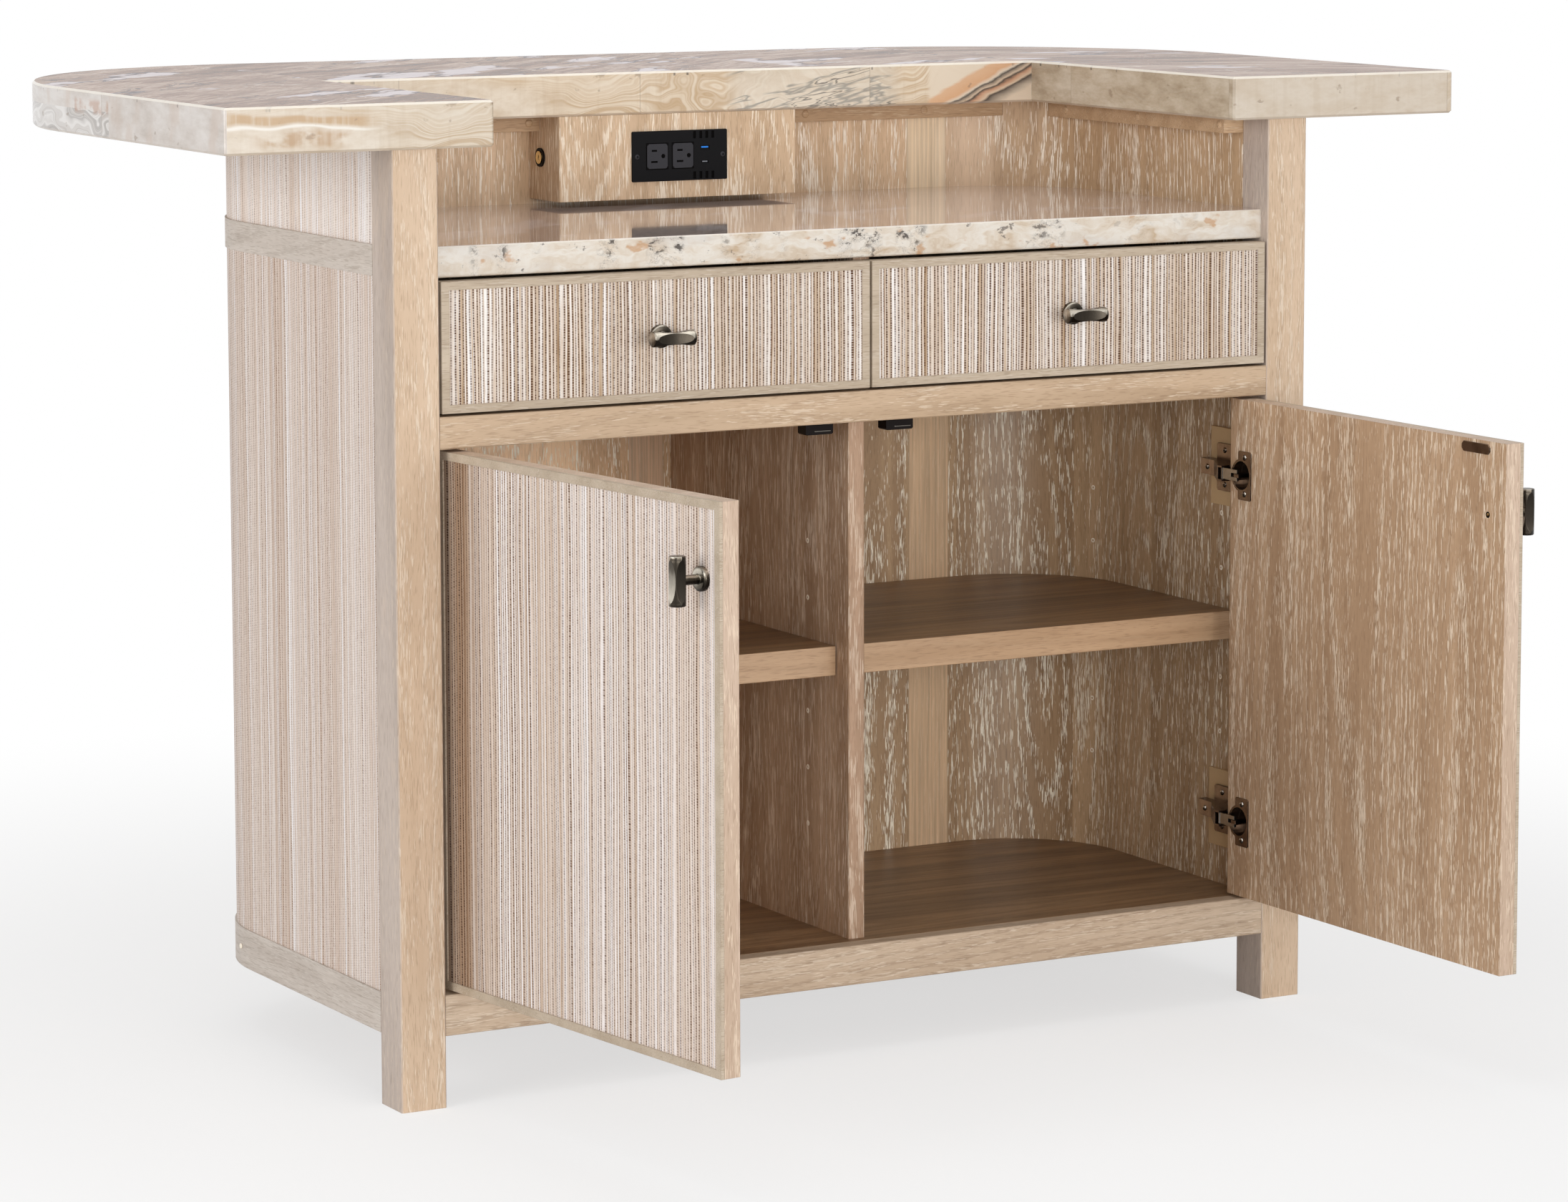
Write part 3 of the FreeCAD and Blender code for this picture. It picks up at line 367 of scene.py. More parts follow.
# ---------------------------------------------------------------- woven fibre
def weave(name, tones, wrap=None, along=None, *, clump, depth, twill, bright, seed=0.0,
          pitch=0.0042, gap_shade=(88, 58, 38), least=0.3, slant=0.5, drift=0.5, start=None):
    """Upright fibre strands of mixed tones, held by rows of fine cross threads over dark gaps
    of painted shade.

    depth is how dark the gaps' painted shade is and least the share of it that each gap has at
    least; clump gathers like tones, drift changes a strand's tone along it, slant and twill
    belong to the cross threads, and bright is the strength of the whitest fibres. Strands are
    browner, as painted shade, up to the place start along the wall, and over HINGE_SHADE_FADE
    they turn into the usual ones.
    """
    g = Mat(name)
    x, y, z = g.place()
    u = (perimeter(g, x, y, *wrap) if wrap else x * along[0] + y * along[1]) + seed
    # strands lean a little and differ in width
    lean = g.noise(g.vec(u * 28.0, 0.0, z * 4.0), 1.0)
    warp = g.noise1(u * 70.0, 1.0)
    uu = u / pitch + (lean - 0.5) * 1.2 + (warp - 0.5) * 1.5
    idx = g.floor(uu)
    prof = g.sin((uu - idx) * math.pi)
    # each strand is a bundle of three thin fibres that change tone along their length
    thin = g.floor(uu * 3.0)
    slow = g.noise(g.vec(thin * 3.7, 0.0, z * 12.0))
    group = g.noise1(u * 24.0, 3.0, 0.7)
    own = g.white(idx, 3.1) * 0.5 + g.white(thin, 6.2) * 0.5
    tone = own * (1.0 - clump) + (group * 2.0 - 0.5) * clump + (slow - 0.5) * drift
    col = g.ramp(tone, *tones)
    fibre = g.noise(g.vec(uu * 5.0, idx * 3.7, z * 70.0))
    col = g.mix(g.step(fibre, 0.50, 0.74) * 0.28, col, (170, 140, 112))
    # cross threads bridge each gap; what shows between them is dark painted shade
    nearest = g.floor(uu + 0.5)
    row = z / STITCH + nearest * slant
    stitched = g.floor(row)
    hole = g.step(g.sin((row - stitched) * math.pi), 0.30, 0.75)
    edge = 1.0 - g.step(prof, 0.26, 0.88)
    deep = g.white(nearest, 5.5) * (1.0 - least) + least
    deep = deep * (g.white(nearest, stitched) * 0.5 + 0.6)
    spark = g.over(g.white(thin, 8.8), 0.80) * g.step(prof, 0.2, 0.6)
    col = g.mix(spark * bright, col, (252, 251, 254))
    col = g.mix(g.low(edge * (hole * 0.62 + 0.38) * deep * depth, 1.0), col, gap_shade)
    rib = g.sin((z / STITCH + uu * slant) * (2 * math.pi)) * 0.5 + 0.5
    col = g.mix(rib * twill, col, (150, 122, 98))
    if start is not None:
        # browner strands beside the hinge, as painted shade
        hinge_shade = (1.0 - g.step(u, start, start + HINGE_SHADE_FADE)) * 0.9
        col = g.mix(hinge_shade, col, (188, 170, 150), "MULTIPLY")
    g.bump(g.step(prof, 0.0, 0.75) * 0.8 + rib * 0.2, 0.0008, 0.5)
    return g.finish(col, 0.75, spec=0.2)


# ---------------------------------------------------------------- stone
def streaks(g, x, y):
    """Taupe streaks that turn at each slab's joint, with pale patches and dark veins."""
    pick = g.white(g.floor((x + SLAB_START) / SLAB_LENGTH), 4.4)
    turn = pick * 1.2 - 0.25
    c, s = g.math("COSINE", turn), g.sin(turn)
    along, across = x * c + y * s, y * c - x * s
    off = pick * 7.0
    warp = g.noise(g.vec(along * 2.1 + off, across * 15.0, off), 3.0, 0.6)
    pa, pc = along * 1.6 + off, across * 12.0 + (warp - 0.5) * 2.2
    band = g.noise(g.vec(pa * 1.7, pc * 1.7, off), 7.0, 0.70)
    col = g.ramp(band, (0.30, (78, 54, 44)), (0.41, (130, 99, 82)), (0.49, (162, 131, 112)),
                 (0.56, (196, 171, 154)), (0.64, (154, 121, 101)), (0.76, (92, 66, 54)))
    grain = g.noise(g.vec(along * 30.0, across * 260.0, off))
    col = g.mix(g.step(grain, 0.46, 0.66) * 0.42, col, (108, 80, 66))
    # pale patches with dark rims in places
    patch = g.noise(g.vec(along * 4.0 + off, across * 10.0, off), 4.0, 0.6)
    col = g.mix(g.step(patch, 0.575, 0.62) * 0.85, col, (226, 217, 222))
    gate = g.step(g.noise(g.vec(along * 7.0, across * 14.0, 5.0), 1.0), 0.46, 0.56)
    col = g.mix(g.line(patch, 0.585, 0.020) * gate * 0.9, col, (66, 56, 72))
    # dark and light veins
    vein = g.noise(g.vec(pa * 1.1, pc * 1.1, off + 3.0), 4.0, 0.65)
    gate = g.step(g.noise(g.vec(along * 3.5, across * 9.0, 2.0)), 0.46, 0.56)
    col = g.mix(g.line(vein, 0.50, 0.016) * gate * 0.85, col, (72, 60, 62))
    col = g.mix(g.line(vein, 0.60, 0.010) * 0.5, col, (234, 222, 210))
    dots = g.noise(g.vec(x * 260.0, y * 90.0, 1.0), 1.0)
    return g.mix(g.step(dots, 0.72, 0.78) * 0.6, col, (232, 222, 210))


def stone_bar(name):
    """Polished onyx bar top: streaked above, its edges layered and clouded side by side."""
    g = Mat(name)
    x, y, z = g.place()
    nx, ny, nz = g.normal()
    u = x - y * 0.9
    piece = (u + STRIP_START) / STRIP_LENGTH
    own = g.white(g.floor(piece), 9.1)
    so = own * 5.0
    h = z - BAR_MIDDLE
    wave = g.noise(g.vec(u * 5.0, so, z * 9.0), 3.0, 0.55) - 0.5
    layer = g.noise1(h * 33.0 + wave * 6.5 + so, 4.0, 0.6)
    cloud = g.noise(g.vec(u * 13.0, so, z * 30.0), 5.0, 0.65)
    fibre = g.noise(g.vec(u * 170.0, so, z * 10.0))
    cream = g.ramp(cloud, (0.30, (204, 182, 154)), (0.44, (218, 202, 180)),
                   (0.57, (230, 218, 200)), (0.74, (210, 190, 164)))
    bands = g.ramp(layer, (0.34, (228, 214, 192)), (0.44, (206, 180, 146)),
                   (0.50, (230, 217, 196)), (0.56, (192, 162, 124)), (0.62, (226, 211, 188)),
                   (0.72, (210, 186, 154)))
    where = g.step(g.noise(g.vec(u * 3.6, so, z * 12.0)), 0.40, 0.60)
    col = g.mix(where * 0.75, cream, bands)
    col = g.mix(g.step(fibre, 0.48, 0.72) * 0.16, col, (186, 160, 128))
    front = g.under(ny, -0.5)
    # front left: tan band, wavy white line and brown comb below it
    left = front * g.under(y, 0.0) * g.under(x, 0.0)
    comb_run = left * g.span(x, -0.728, -0.622, 0.012)
    edge_line = wave * 0.040 + 0.004
    flame = g.step(g.noise(g.vec(u * 34.0, 3.0, z * 60.0), 3.0), 0.36, 0.56)
    teeth = g.step(fibre, 0.34, 0.60) * 0.4 + 0.6
    comb = g.span(h - edge_line, -0.021, -0.004, 0.004) * teeth * flame
    col = g.mix(comb_run * comb * 0.75, col, (184, 145, 102))
    line_run = g.span(x, -0.770, -0.600, 0.02)
    tan = g.span(h - edge_line, 0.003, 0.011, 0.002) * left * line_run
    col = g.mix(tan * (g.step(fibre, 0.30, 0.55) * 0.4 + 0.45), col, (196, 160, 116))
    white_line = g.line(h, edge_line, 0.0024) * left * line_run
    col = g.mix(white_line * 0.9, col, (247, 241, 230))
    # back edge of the notch: grey-green veins, then orange and black bands at its right end
    back = front * g.over(y, 0.0)
    vein_at = g.noise(g.vec(u * 7.0 - h * 26.0, so, h * 16.0 + wave), 4.0, 0.62)
    veined = back * g.span(x, 0.055, 0.275, 0.015)
    pale = g.ramp(cloud, (0.35, (206, 196, 180)), (0.60, (230, 222, 208)))
    col = g.mix(veined * 0.6, col, pale)
    col = g.mix(g.line(vein_at, 0.50, 0.030) * veined * 0.75, col, (142, 140, 134))
    col = g.mix(g.line(vein_at, 0.455, 0.013) * veined * 0.8, col, (92, 90, 86))
    ragged = (g.noise(g.vec(u * 26.0, 0.0, z * 60.0), 3.0) - 0.5) * 0.012
    slope = h - (x - 0.385) * 0.46 + ragged
    striped = g.ramp(slope * 10.0 + 0.5, (0.10, (218, 200, 178)), (0.24, (66, 60, 58)),
                     (0.27, (214, 190, 164)), (0.32, (196, 150, 120)), (0.36, (54, 50, 50)),
                     (0.38, (206, 184, 160)), (0.43, (70, 66, 64)), (0.455, (222, 206, 186)),
                     (0.50, (214, 168, 130)), (0.62, (218, 178, 142)), (0.66, (226, 212, 192)))
    col = g.mix(back * g.span(x, 0.318, 0.470, 0.004) * 0.95, col, striped)
    # the notch's right side is a cloudy grey beige, the front right a quiet cream
    side = g.under(nx, -0.45)
    beige = g.ramp(cloud, (0.32, (150, 132, 110)), (0.48, (184, 168, 146)),
                   (0.64, (210, 198, 180)))
    col = g.mix(side * g.over(x, 0.3) * 0.85, col, beige)
    near = front * g.under(y, 0.0)
    col = g.mix(near * g.over(x, 0.0) * 0.35, col, (222, 206, 186))
    col = g.mix(near, col, (235, 236, 239), "MULTIPLY")
    # left side: grey white, layered and marbled with rust beyond the seam
    outer = side * g.under(x, -0.3)
    grey = g.ramp(cloud, (0.30, (186, 176, 168)), (0.46, (208, 200, 194)),
                  (0.62, (224, 219, 215)))
    blush = g.step(g.noise(g.vec(u * 30.0, 1.0, z * 14.0), 3.0), 0.50, 0.64)
    grey = g.mix(blush * 0.5, grey, (204, 186, 174))
    far = g.over(y, 0.132)
    layers = g.ramp(layer, (0.36, (232, 230, 228)), (0.46, (190, 184, 180)),
                    (0.52, (236, 234, 232)), (0.58, (168, 164, 162)), (0.66, (226, 222, 218)))
    grey = g.mix(far * g.under(h, 0.004) * 0.85, grey, layers)
    rust = g.step(g.noise(g.vec(u * 40.0, 1.0, z * 60.0), 3.0), 0.42, 0.60)
    rust = rust * far * g.under(y, 0.23) * g.span(h, 0.000, 0.015, 0.003)
    grey = g.mix(rust * 0.6, grey, (184, 142, 118))
    col = g.mix(outer * 0.95, col, grey)
    # seams between the edge strips, small chips along them, nicks at the upper rim
    off_seam = piece - g.floor(piece)
    seam = g.under(g.low(off_seam, 1.0 - off_seam), 0.0020)
    col = g.mix(seam * 0.40, col, (160, 144, 126))
    col = g.mix((own - 0.5) * 0.10 + 0.05, col, (150, 132, 112))
    chips = g.noise(g.vec(u * 45.0, 1.0, z * 70.0), 3.0)
    col = g.mix(g.step(chips, 0.66, 0.72) * 0.5, col, (138, 116, 96))
    nick = g.step(g.noise(g.vec(u * 70.0, y * 70.0, 4.0)), 0.64, 0.70) * g.over(h, 0.019)
    col = g.mix(nick * 0.75, col, (92, 84, 78))
    up = g.step(nz, 0.80, 0.95)
    col = g.mix(up, col, streaks(g, x, y))
    # painted highlight: the eased rim between top and edges is painted a bright cream
    col = g.mix(g.span(nz, 0.45, 0.86, 0.06) * 0.75, col, (246, 238, 226))
    col = g.mix(g.step(-nz, 0.6, 0.8), col, (186, 170, 152))
    g.nt.links.new(g.eased(STONE_EDGE), g.bsdf.inputs["Normal"])
    return g.finish(col, up * 0.06 + 0.18, spec=0.20 - up * 0.17)


def stone_work(name):
    """Lower stone: mirror-polished taupe above, white and cream edge with dark dendrites."""
    g = Mat(name)
    x, y, z = g.place()
    nz = g.normal()[2]
    h = z - WORK_MIDDLE
    wave = g.noise(g.vec(x * 9.0, y, z * 20.0), 4.0, 0.6)
    cloud = g.noise(g.vec(x * 15.0, y, z * 40.0 + wave * 4.0), 5.0, 0.66)
    col = g.ramp(cloud, (0.30, (196, 172, 144)), (0.42, (216, 201, 182)),
                 (0.56, (228, 220, 208)), (0.72, (212, 194, 172)))
    mist = g.step(g.noise(g.vec(x * 6.0, 4.0, z * 14.0), 3.0), 0.50, 0.66)
    col = g.mix(mist * 0.5, col, (206, 200, 194))
    rust = g.step(g.noise(g.vec(x * 34.0, 2.0, z * 56.0), 3.0), 0.62, 0.69)
    col = g.mix(rust * 0.65, col, (192, 142, 94))
    # dark dendrites hang from the top edge in places, fewer towards the right
    calm = 1.0 - g.step(x, 0.15, 0.40) * 0.85
    places = g.step(g.noise1(x * 17.0 + 0.6, 1.0), 0.50, 0.58) * calm
    branch = g.noise(g.vec(x * 60.0, 5.0, z * 95.0 + wave * 3.0), 5.0, 0.72)
    reach = g.step(h + (branch - 0.5) * 0.05, -0.008, 0.010)
    col = g.mix(g.step(branch, 0.52, 0.58) * places * reach * 0.9, col, (72, 64, 60))
    col = g.mix(g.line(branch, 0.50, 0.020) * places * 0.5, col, (120, 108, 98))
    spots = g.step(g.noise(g.vec(x * 42.0, 9.0, z * 60.0), 4.0, 0.7), 0.61, 0.66) * calm
    col = g.mix(spots * 0.75, col, (96, 86, 80))
    col = g.mix(1.0, col, (249, 251, 254), "MULTIPLY")
    up = g.step(nz, 0.80, 0.95)
    # partly painted reflection: the top's streaks, the stone's own, are paled by a blend with
    # light beige that stands for the niche mirrored in it
    above = g.mix(0.54, streaks(g, x + 0.11, y + 0.35), (238, 223, 216))
    col = g.mix(up, col, above)
    # painted highlight: the eased rim between top and edge is painted a pale cream
    col = g.mix(g.span(nz, 0.45, 0.86, 0.06) * 0.6, col, (238, 230, 218))
    g.nt.links.new(g.eased(STONE_EDGE), g.bsdf.inputs["Normal"])
    return g.finish(col, 0.16 - up * 0.10, spec=up * 0.38 + 0.12, coat=up * 0.5)


# ---------------------------------------------------------------- metals and plastics
def metal(name, darkest, middle, brightest, rough):
    """Satin metal: a painted reflection in its colour, dark below and bright on what leans up
    to the light, with faint brushing.
    """
    g = Mat(name)
    x, y, z = g.place()
    nx, ny, nz = g.normal()
    brush = g.noise(g.vec(x * BRUSH, y * BRUSH, z * BRUSH * 0.15))
    smear = g.noise(g.vec(x * 60.0, y * 60.0, z * 60.0), 3.0)
    # painted reflection: the colour follows the normal's direction, darkest facing down and
    # brightest leaning up
    lean = nz * 1.15 - nx * 0.18 + ny * 0.28 + g.sin(nx * 5.0 + ny * 4.0) * 0.16
    lean = lean + (smear - 0.5) * 0.25 + (brush - 0.5) * 0.12
    col = g.ramp(lean * 0.5 + 0.5, (0.22, darkest), (0.46, between(darkest, middle, 0.45)),
                 (0.58, middle), (0.72, brightest), (0.84, between(middle, brightest, 0.6)),
                 (0.97, middle))
    g.bump(brush, 0.0002, 0.08, edge=METAL_EDGE)
    return g.finish(col, brush * 0.10 + rough, metal=1.0)


def plastic(name, color, rough, spec=0.3, other=None):
    """Moulded plastic with fine pebbles; below the height in other it has other's colour."""
    g = Mat(name)
    x, y, z = g.place()
    n = g.noise(g.vec(x * PEBBLE, y * PEBBLE, z * PEBBLE))
    col = g.mix(n * 0.25, color, shade(color, 1.25))
    if other:
        height, lower = other
        col = g.mix(g.under(z, height), col, lower)
    g.bump(n, 0.0001, 0.2, edge=PLASTIC_EDGE)
    return g.finish(col, n * 0.12 + rough, spec=spec)


# tones of the strands, from the palest to the brownest
STRANDS_DRAWER = ((0.00, (248, 243, 240)), (0.30, (233, 224, 216)), (0.48, (218, 201, 185)),
                  (0.70, (200, 178, 154)), (0.88, (180, 152, 121)), (0.99, (136, 104, 76)))
STRANDS_DOOR = ((0.00, (250, 246, 248)), (0.20, (240, 230, 225)), (0.45, (228, 212, 200)),
                (0.70, (216, 196, 179)), (0.90, (194, 168, 146)), (0.99, (156, 126, 102)))
STRANDS_SIDE = ((0.00, (250, 247, 249)), (0.14, (240, 231, 225)), (0.38, (232, 218, 208)),
                (0.62, (223, 206, 194)), (0.82, (208, 186, 170)), (0.97, (178, 148, 126)))
# painted light: the weave under the top's overhang has paler tones than the lower weave,
# against the overhang's shade
STRANDS_UP_PAINTED_LIGHT = ((0.00, (255, 255, 255)), (0.18, (252, 247, 244)), (0.42, (246, 235, 227)),
              (0.66, (238, 224, 214)), (0.86, (222, 202, 187)), (0.97, (194, 166, 146)))

M = {
    "bar": stone_bar("bar_stone"),
    "work": stone_work("work_stone"),
    # painted light: the legs' sides, which look along x, are a greyer tone that stands for the
    # cooler light on them
    "leg": oak("oak_leg", (210, 185, 159), (200, 174, 147), (230, 215, 196), figure=0.12,
               clouds=0.12, faces=("x", (196, 181, 170), (182, 167, 156))),
    "rail": oak("oak_rail", (198, 172, 144), (180, 154, 126), (224, 206, 184), "x",
                figure=0.15, cover=0.61, clouds=0.1),
    "band": oak("oak_band", (211, 201, 191), (192, 180, 169), (226, 219, 211), "x", WALL,
                pores=0.4, clouds=0.2),
    "foot_rail": oak("oak_foot_rail", (206, 185, 162), (186, 163, 139), (226, 210, 190), "x",
                     pores=0.55, figure=0.4, seed=1.5, clouds=0.15, rings=200.0),
    "mould": oak("oak_mould", (194, 178, 158), (178, 161, 140), (212, 200, 184), "x",
                 pores=0.4, figure=0.12, cover=0.61, seed=3.0),
    "door_in": oak("oak_door", (198, 166, 135), (178, 146, 116), (236, 217, 194), pores=0.95,
                   figure=0.2, cover=0.575, seed=1.0,
                   faces=("yz", (202, 178, 158), (188, 163, 141))),
    # painted light and shade: the left bay's lining is lighter, for the light its open door
    # holds back, and the darker tint beyond the middle takes the right bay back down
    "bay": oak("oak_bay", (250, 211, 168), (212, 174, 135), (255, 246, 226), wrap=BAY,
               pores=0.95, figure=0.35, cover=0.58, seed=2.0, leaves=0.148,
               painted_shade=(-0.05, 0.05, (210, 212, 212)),
               strips=((0.311, 0.366, (220, 188, 152)), (-0.065, -0.020, (214, 180, 148))),
               rough=0.38, spec=0.5),
    # painted shade: from part way round its right corner on, the niche's lining is darker
    "niche": oak("oak_niche", (224, 194, 160), (203, 173, 139), (254, 244, 228), wrap=NICHE,
                 pores=0.9, figure=0.15, cover=0.59, seed=4.0, long=1.5,
                 strips=((0.334, 0.387, (234, 212, 180)),), painted_shade=(0.40, 0.47, (226, 221, 214)),
                 rough=0.38, spec=0.5),
    "divider": oak("oak_divider", (200, 169, 141), (172, 142, 116), (240, 223, 203),
                   pores=0.85, cover=0.57, seed=5.0, long=1.6,
                   faces=("y", (181, 150, 125), (158, 128, 103))),
    # painted shade: the tops of the shelves, cabinet floor and dust panel are darker than their
    # fronts, which look along y
    "shelf": oak("oak_shelf", (162, 126, 90), (118, 88, 60), (190, 162, 130), "x", pores=0.5,
                 figure=0.7, cover=0.61, seed=6.0, long=1.8, rough=0.38, spec=0.5,
                 faces=("y", (190, 157, 124), (172, 139, 106))),
    "powerbox": oak("oak_power_box", (214, 186, 155), (196, 168, 137), (244, 230, 210),
                    pores=0.85, figure=0.12, cover=0.575, seed=7.0, long=1.4),
    "cleat": oak("oak_cleat", (196, 165, 132), (178, 147, 114), (218, 197, 169), "x",
                 pores=0.4, figure=0.1, cover=0.61, seed=8.0),
    "box": oak("oak_drawer_box", (202, 180, 152), (184, 160, 132), (226, 210, 188), "x",
               pores=0.3, figure=0.15, cover=0.61, seed=9.0),
    # painted light: the upper weave is a paler copy of the lower one
    "wall_up_painted_light": weave("weave_wall", STRANDS_UP_PAINTED_LIGHT, WALL, clump=0.35, slant=0.36, twill=0.08,
                     depth=0.62, gap_shade=(142, 108, 84), bright=0.8, pitch=0.0048),
    "wall_low": weave("weave_wall_low", STRANDS_SIDE, WALL, clump=0.4, slant=0.36, twill=0.14,
                      depth=0.85, gap_shade=(132, 98, 74), bright=0.7, seed=0.4, pitch=0.0048),
    "drawer": weave("weave_drawer", STRANDS_DRAWER, along=(1.0, 0.0), clump=0.08, depth=1.4,
                    seed=0.2, bright=0.25, twill=0.06, least=0.5, drift=0.9),
    "bronze": metal("bronze", (34, 30, 26), (92, 85, 75), (206, 198, 184), 0.22),
    "hinge": metal("hinge_bronze", (30, 23, 20), (86, 69, 58), (196, 176, 158), 0.20),
    "nickel": metal("nickel", (64, 61, 57), (150, 146, 138), (238, 234, 226), 0.18),
    "zinc": metal("zinc", (96, 96, 95), (150, 150, 148), (214, 214, 212), 0.32),
    "gold": metal("button_gold", (96, 72, 38), (188, 150, 92), (246, 218, 160), 0.22),
    "plate": plastic("plate_black", (15, 15, 17), 0.55, spec=0.1),
    "socket": plastic("socket_charcoal", (54, 54, 58), 0.45, spec=0.1),
    "usb": plastic("usb_blue", (20, 118, 214), 0.35, other=(PORTS_APART, (128, 132, 140))),
    "black": plastic("black_plastic", (20, 15, 14), 0.30, spec=0.08),
    "pad": plastic("hinge_pad", (198, 168, 128), 0.55),
    "socket_white": plastic("pin_socket", (254, 242, 222), 0.45),
    # painted shade: a near-black that stands for the shade inside recesses, slots and holes
    "hole": plastic("painted_hole_shade", (9, 8, 8), 0.8, spec=0.05),
}
for side, s in SIGN.items():
    # each open door's strands are counted along the door, outwards from its hinge
    turn = math.radians(DOOR_ANGLE[side])
    out_x, out_y = -s * math.cos(turn), -math.sin(turn)
    hinge_at = out_x * s * PIVOT_X / 1000 + out_y * (PIVOT_Y / 1000 - ORIGIN_Y)
    M[side + "_door_weave"] = weave(
        "weave_%s_door" % side, STRANDS_DOOR, along=(out_x, out_y), clump=0.25, depth=1.1,
        seed=DOOR_SEED, bright=0.7, slant=0.42, twill=0.08,
        start=hinge_at + DOOR_SEED + HINGE_SHADE_FULL, pitch=0.0046)


# ---------------------------------------------------------------- CAD nodes get their materials
def dress(node, mat):
    """Put one material on a CAD node."""
    ob = NODES[node]
    for slot in ob.material_slots:
        slot.material = mat
    if not ob.material_slots:
        ob.data.materials.append(mat)


PLAIN = {
    "bar_top": "bar", "work_top": "work", "left_front_leg": "leg", "right_front_leg": "leg",
    "rear_feet": "leg", "drawer_rail": "rail", "bottom_rail": "foot_rail", "mid_band": "band",
    "bottom_band": "band", "outer_shell": "band", "upper_weave": "wall_up_painted_light",
    "lower_weave": "wall_low", "niche_lining": "niche", "bay_lining": "bay",
    "cabinet_floor": "shelf", "dust_panel": "shelf", "centre_dividers": "divider",
    "left_shelf": "shelf", "right_shelf": "shelf", "shelf_pins": "nickel",
    "top_cleats": "cleat", "power_box": "powerbox", "outlet_plate": "plate",
    "outlet_sockets": "socket", "usb_tongues": "usb", "button_bezel": "black",
    "power_button": "gold", "magnetic_catches": "black", "slide_rails": "zinc",
    "hinge_pads": "pad", "hinge_arms": "hinge",
}
PER_SIDE = {
    "drawer_panel": "mould", "drawer_frame": "mould", "drawer_weave": "drawer",
    "drawer_box": "box", "drawer_pull": "bronze", "slide_runners": "zinc",
    "slide_carriers": "zinc", "door_panel": "door_in", "door_frame": "mould",
    "door_knob": "bronze", "strike_plate": "hinge", "hinge_cups": "hinge",
    "hinge_links": "nickel",
}
for node, key in PLAIN.items():
    dress(node, M[key])
for side in SIGN:
    for node, key in PER_SIDE.items():
        dress(side + "_" + node, M[key])
    dress(side + "_door_weave", M[side + "_door_weave"])


# ---------------------------------------------------------------- small pieces
def add(name, bm, mats, body, smooth=30, replaces=None, sharp=()):
    """Turn a bmesh into a named piece that rides on a body."""
    marks = [e.index for e in sharp]
    mesh = bpy.data.meshes.new(name)
    bm.to_mesh(mesh)
    bm.free()
    for mat in mats:
        mesh.materials.append(mat)
    mesh.shade_smooth()
    mesh.set_sharp_from_angle(angle=math.radians(smooth))
    for i in marks:
        mesh.edges[i].use_edge_sharp = True
    ob = bpy.data.objects.new(name, mesh)
    bpy.context.scene.collection.objects.link(ob)
    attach(ob, body)
    if replaces:
        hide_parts(replaces)


FINE, SMALL, TINY = 24, 20, 16      # sides of a lathed piece


def lathe(bm, profile, place, axis, steps, mat=0):
    """Revolve (radius, height) pairs in metres about an axis that starts at place."""
    upright = Vector(axis).to_track_quat("Z", "Y").to_matrix().to_4x4()
    put = Matrix.Translation(Vector(place)) @ upright
    turns = [2 * math.pi * k / steps for k in range(steps)]
    rings = []
    for r, h in profile:
        if r == 0:
            spots = [Vector((0, 0, h))]
        else:
            spots = [Vector((r * math.cos(w), r * math.sin(w), h)) for w in turns]
        rings.append([bm.verts.new(put @ p) for p in spots])
    for lower, upper in zip(rings, rings[1:]):
        for k in range(steps):
            n = (k + 1) % steps
            if len(lower) == 1:
                corners = (lower[0], upper[n], upper[k])
            elif len(upper) == 1:
                corners = (lower[k], lower[n], upper[0])
            else:
                corners = (lower[k], lower[n], upper[n], upper[k])
            bm.faces.new(corners).material_index = mat
    return put


def slab(bm, put, lo, hi, mat=0):
    """A small bar between two corners, in the frame that put gives."""
    vs = [bm.verts.new(put @ Vector((x, y, z)))
          for z in (lo[2], hi[2]) for y in (lo[1], hi[1]) for x in (lo[0], hi[0])]
    for q in ((0, 2, 3, 1), (4, 5, 7, 6), (0, 1, 5, 4), (2, 6, 7, 3), (0, 4, 6, 2),
              (1, 3, 7, 5)):
        bm.faces.new([vs[i] for i in q]).material_index = mat


def screw(bm, place, axis, r):
    """Pan-head screw whose cross recess is painted shade in a dark material; its second
    material is the recess.
    """
    h = r * 0.42
    head = [(0, h), (r * 0.55, h * 0.96), (r * 0.85, h * 0.62), (r, 0), (r, -0.0004)]
    put = lathe(bm, head, place, axis, FINE)
    s, a, lo, hi = r * 0.12, r * 0.5, h * 0.97, h * 1.02
    slab(bm, put, (-a, -s, lo), (a, s, hi), 1)
    slab(bm, put, (-s, -a, lo), (s, -s, hi), 1)
    slab(bm, put, (-s, s, lo), (s, a, hi), 1)


def mm(x, y, z):
    """Design millimetres to the frame's metres."""
    return Vector((x / 1000, y / 1000 - ORIGIN_Y, z / 1000))


def flat(bm, x0, x1, y0, y1, z0, z1):
    """A bar given by design millimetres."""
    slab(bm, Matrix(), mm(x0, y0, z0), mm(x1, y1, z1))


def door_turn(side):
    """Turn of a door from shut to where it stands at rest."""
    return Matrix.Rotation(math.radians(SIGN[side] * DOOR_ANGLE[side]), 4, "Z")


def on_door(side, x, y, z):
    """Place and outward direction of something given on the shut right door."""
    s = SIGN[side]
    pivot = mm(s * PIVOT_X, PIVOT_Y, 0)
    turn = door_turn(side)
    return turn @ (mm(s * x, y, z) - pivot) + pivot, turn @ Vector((0, 1, 0))


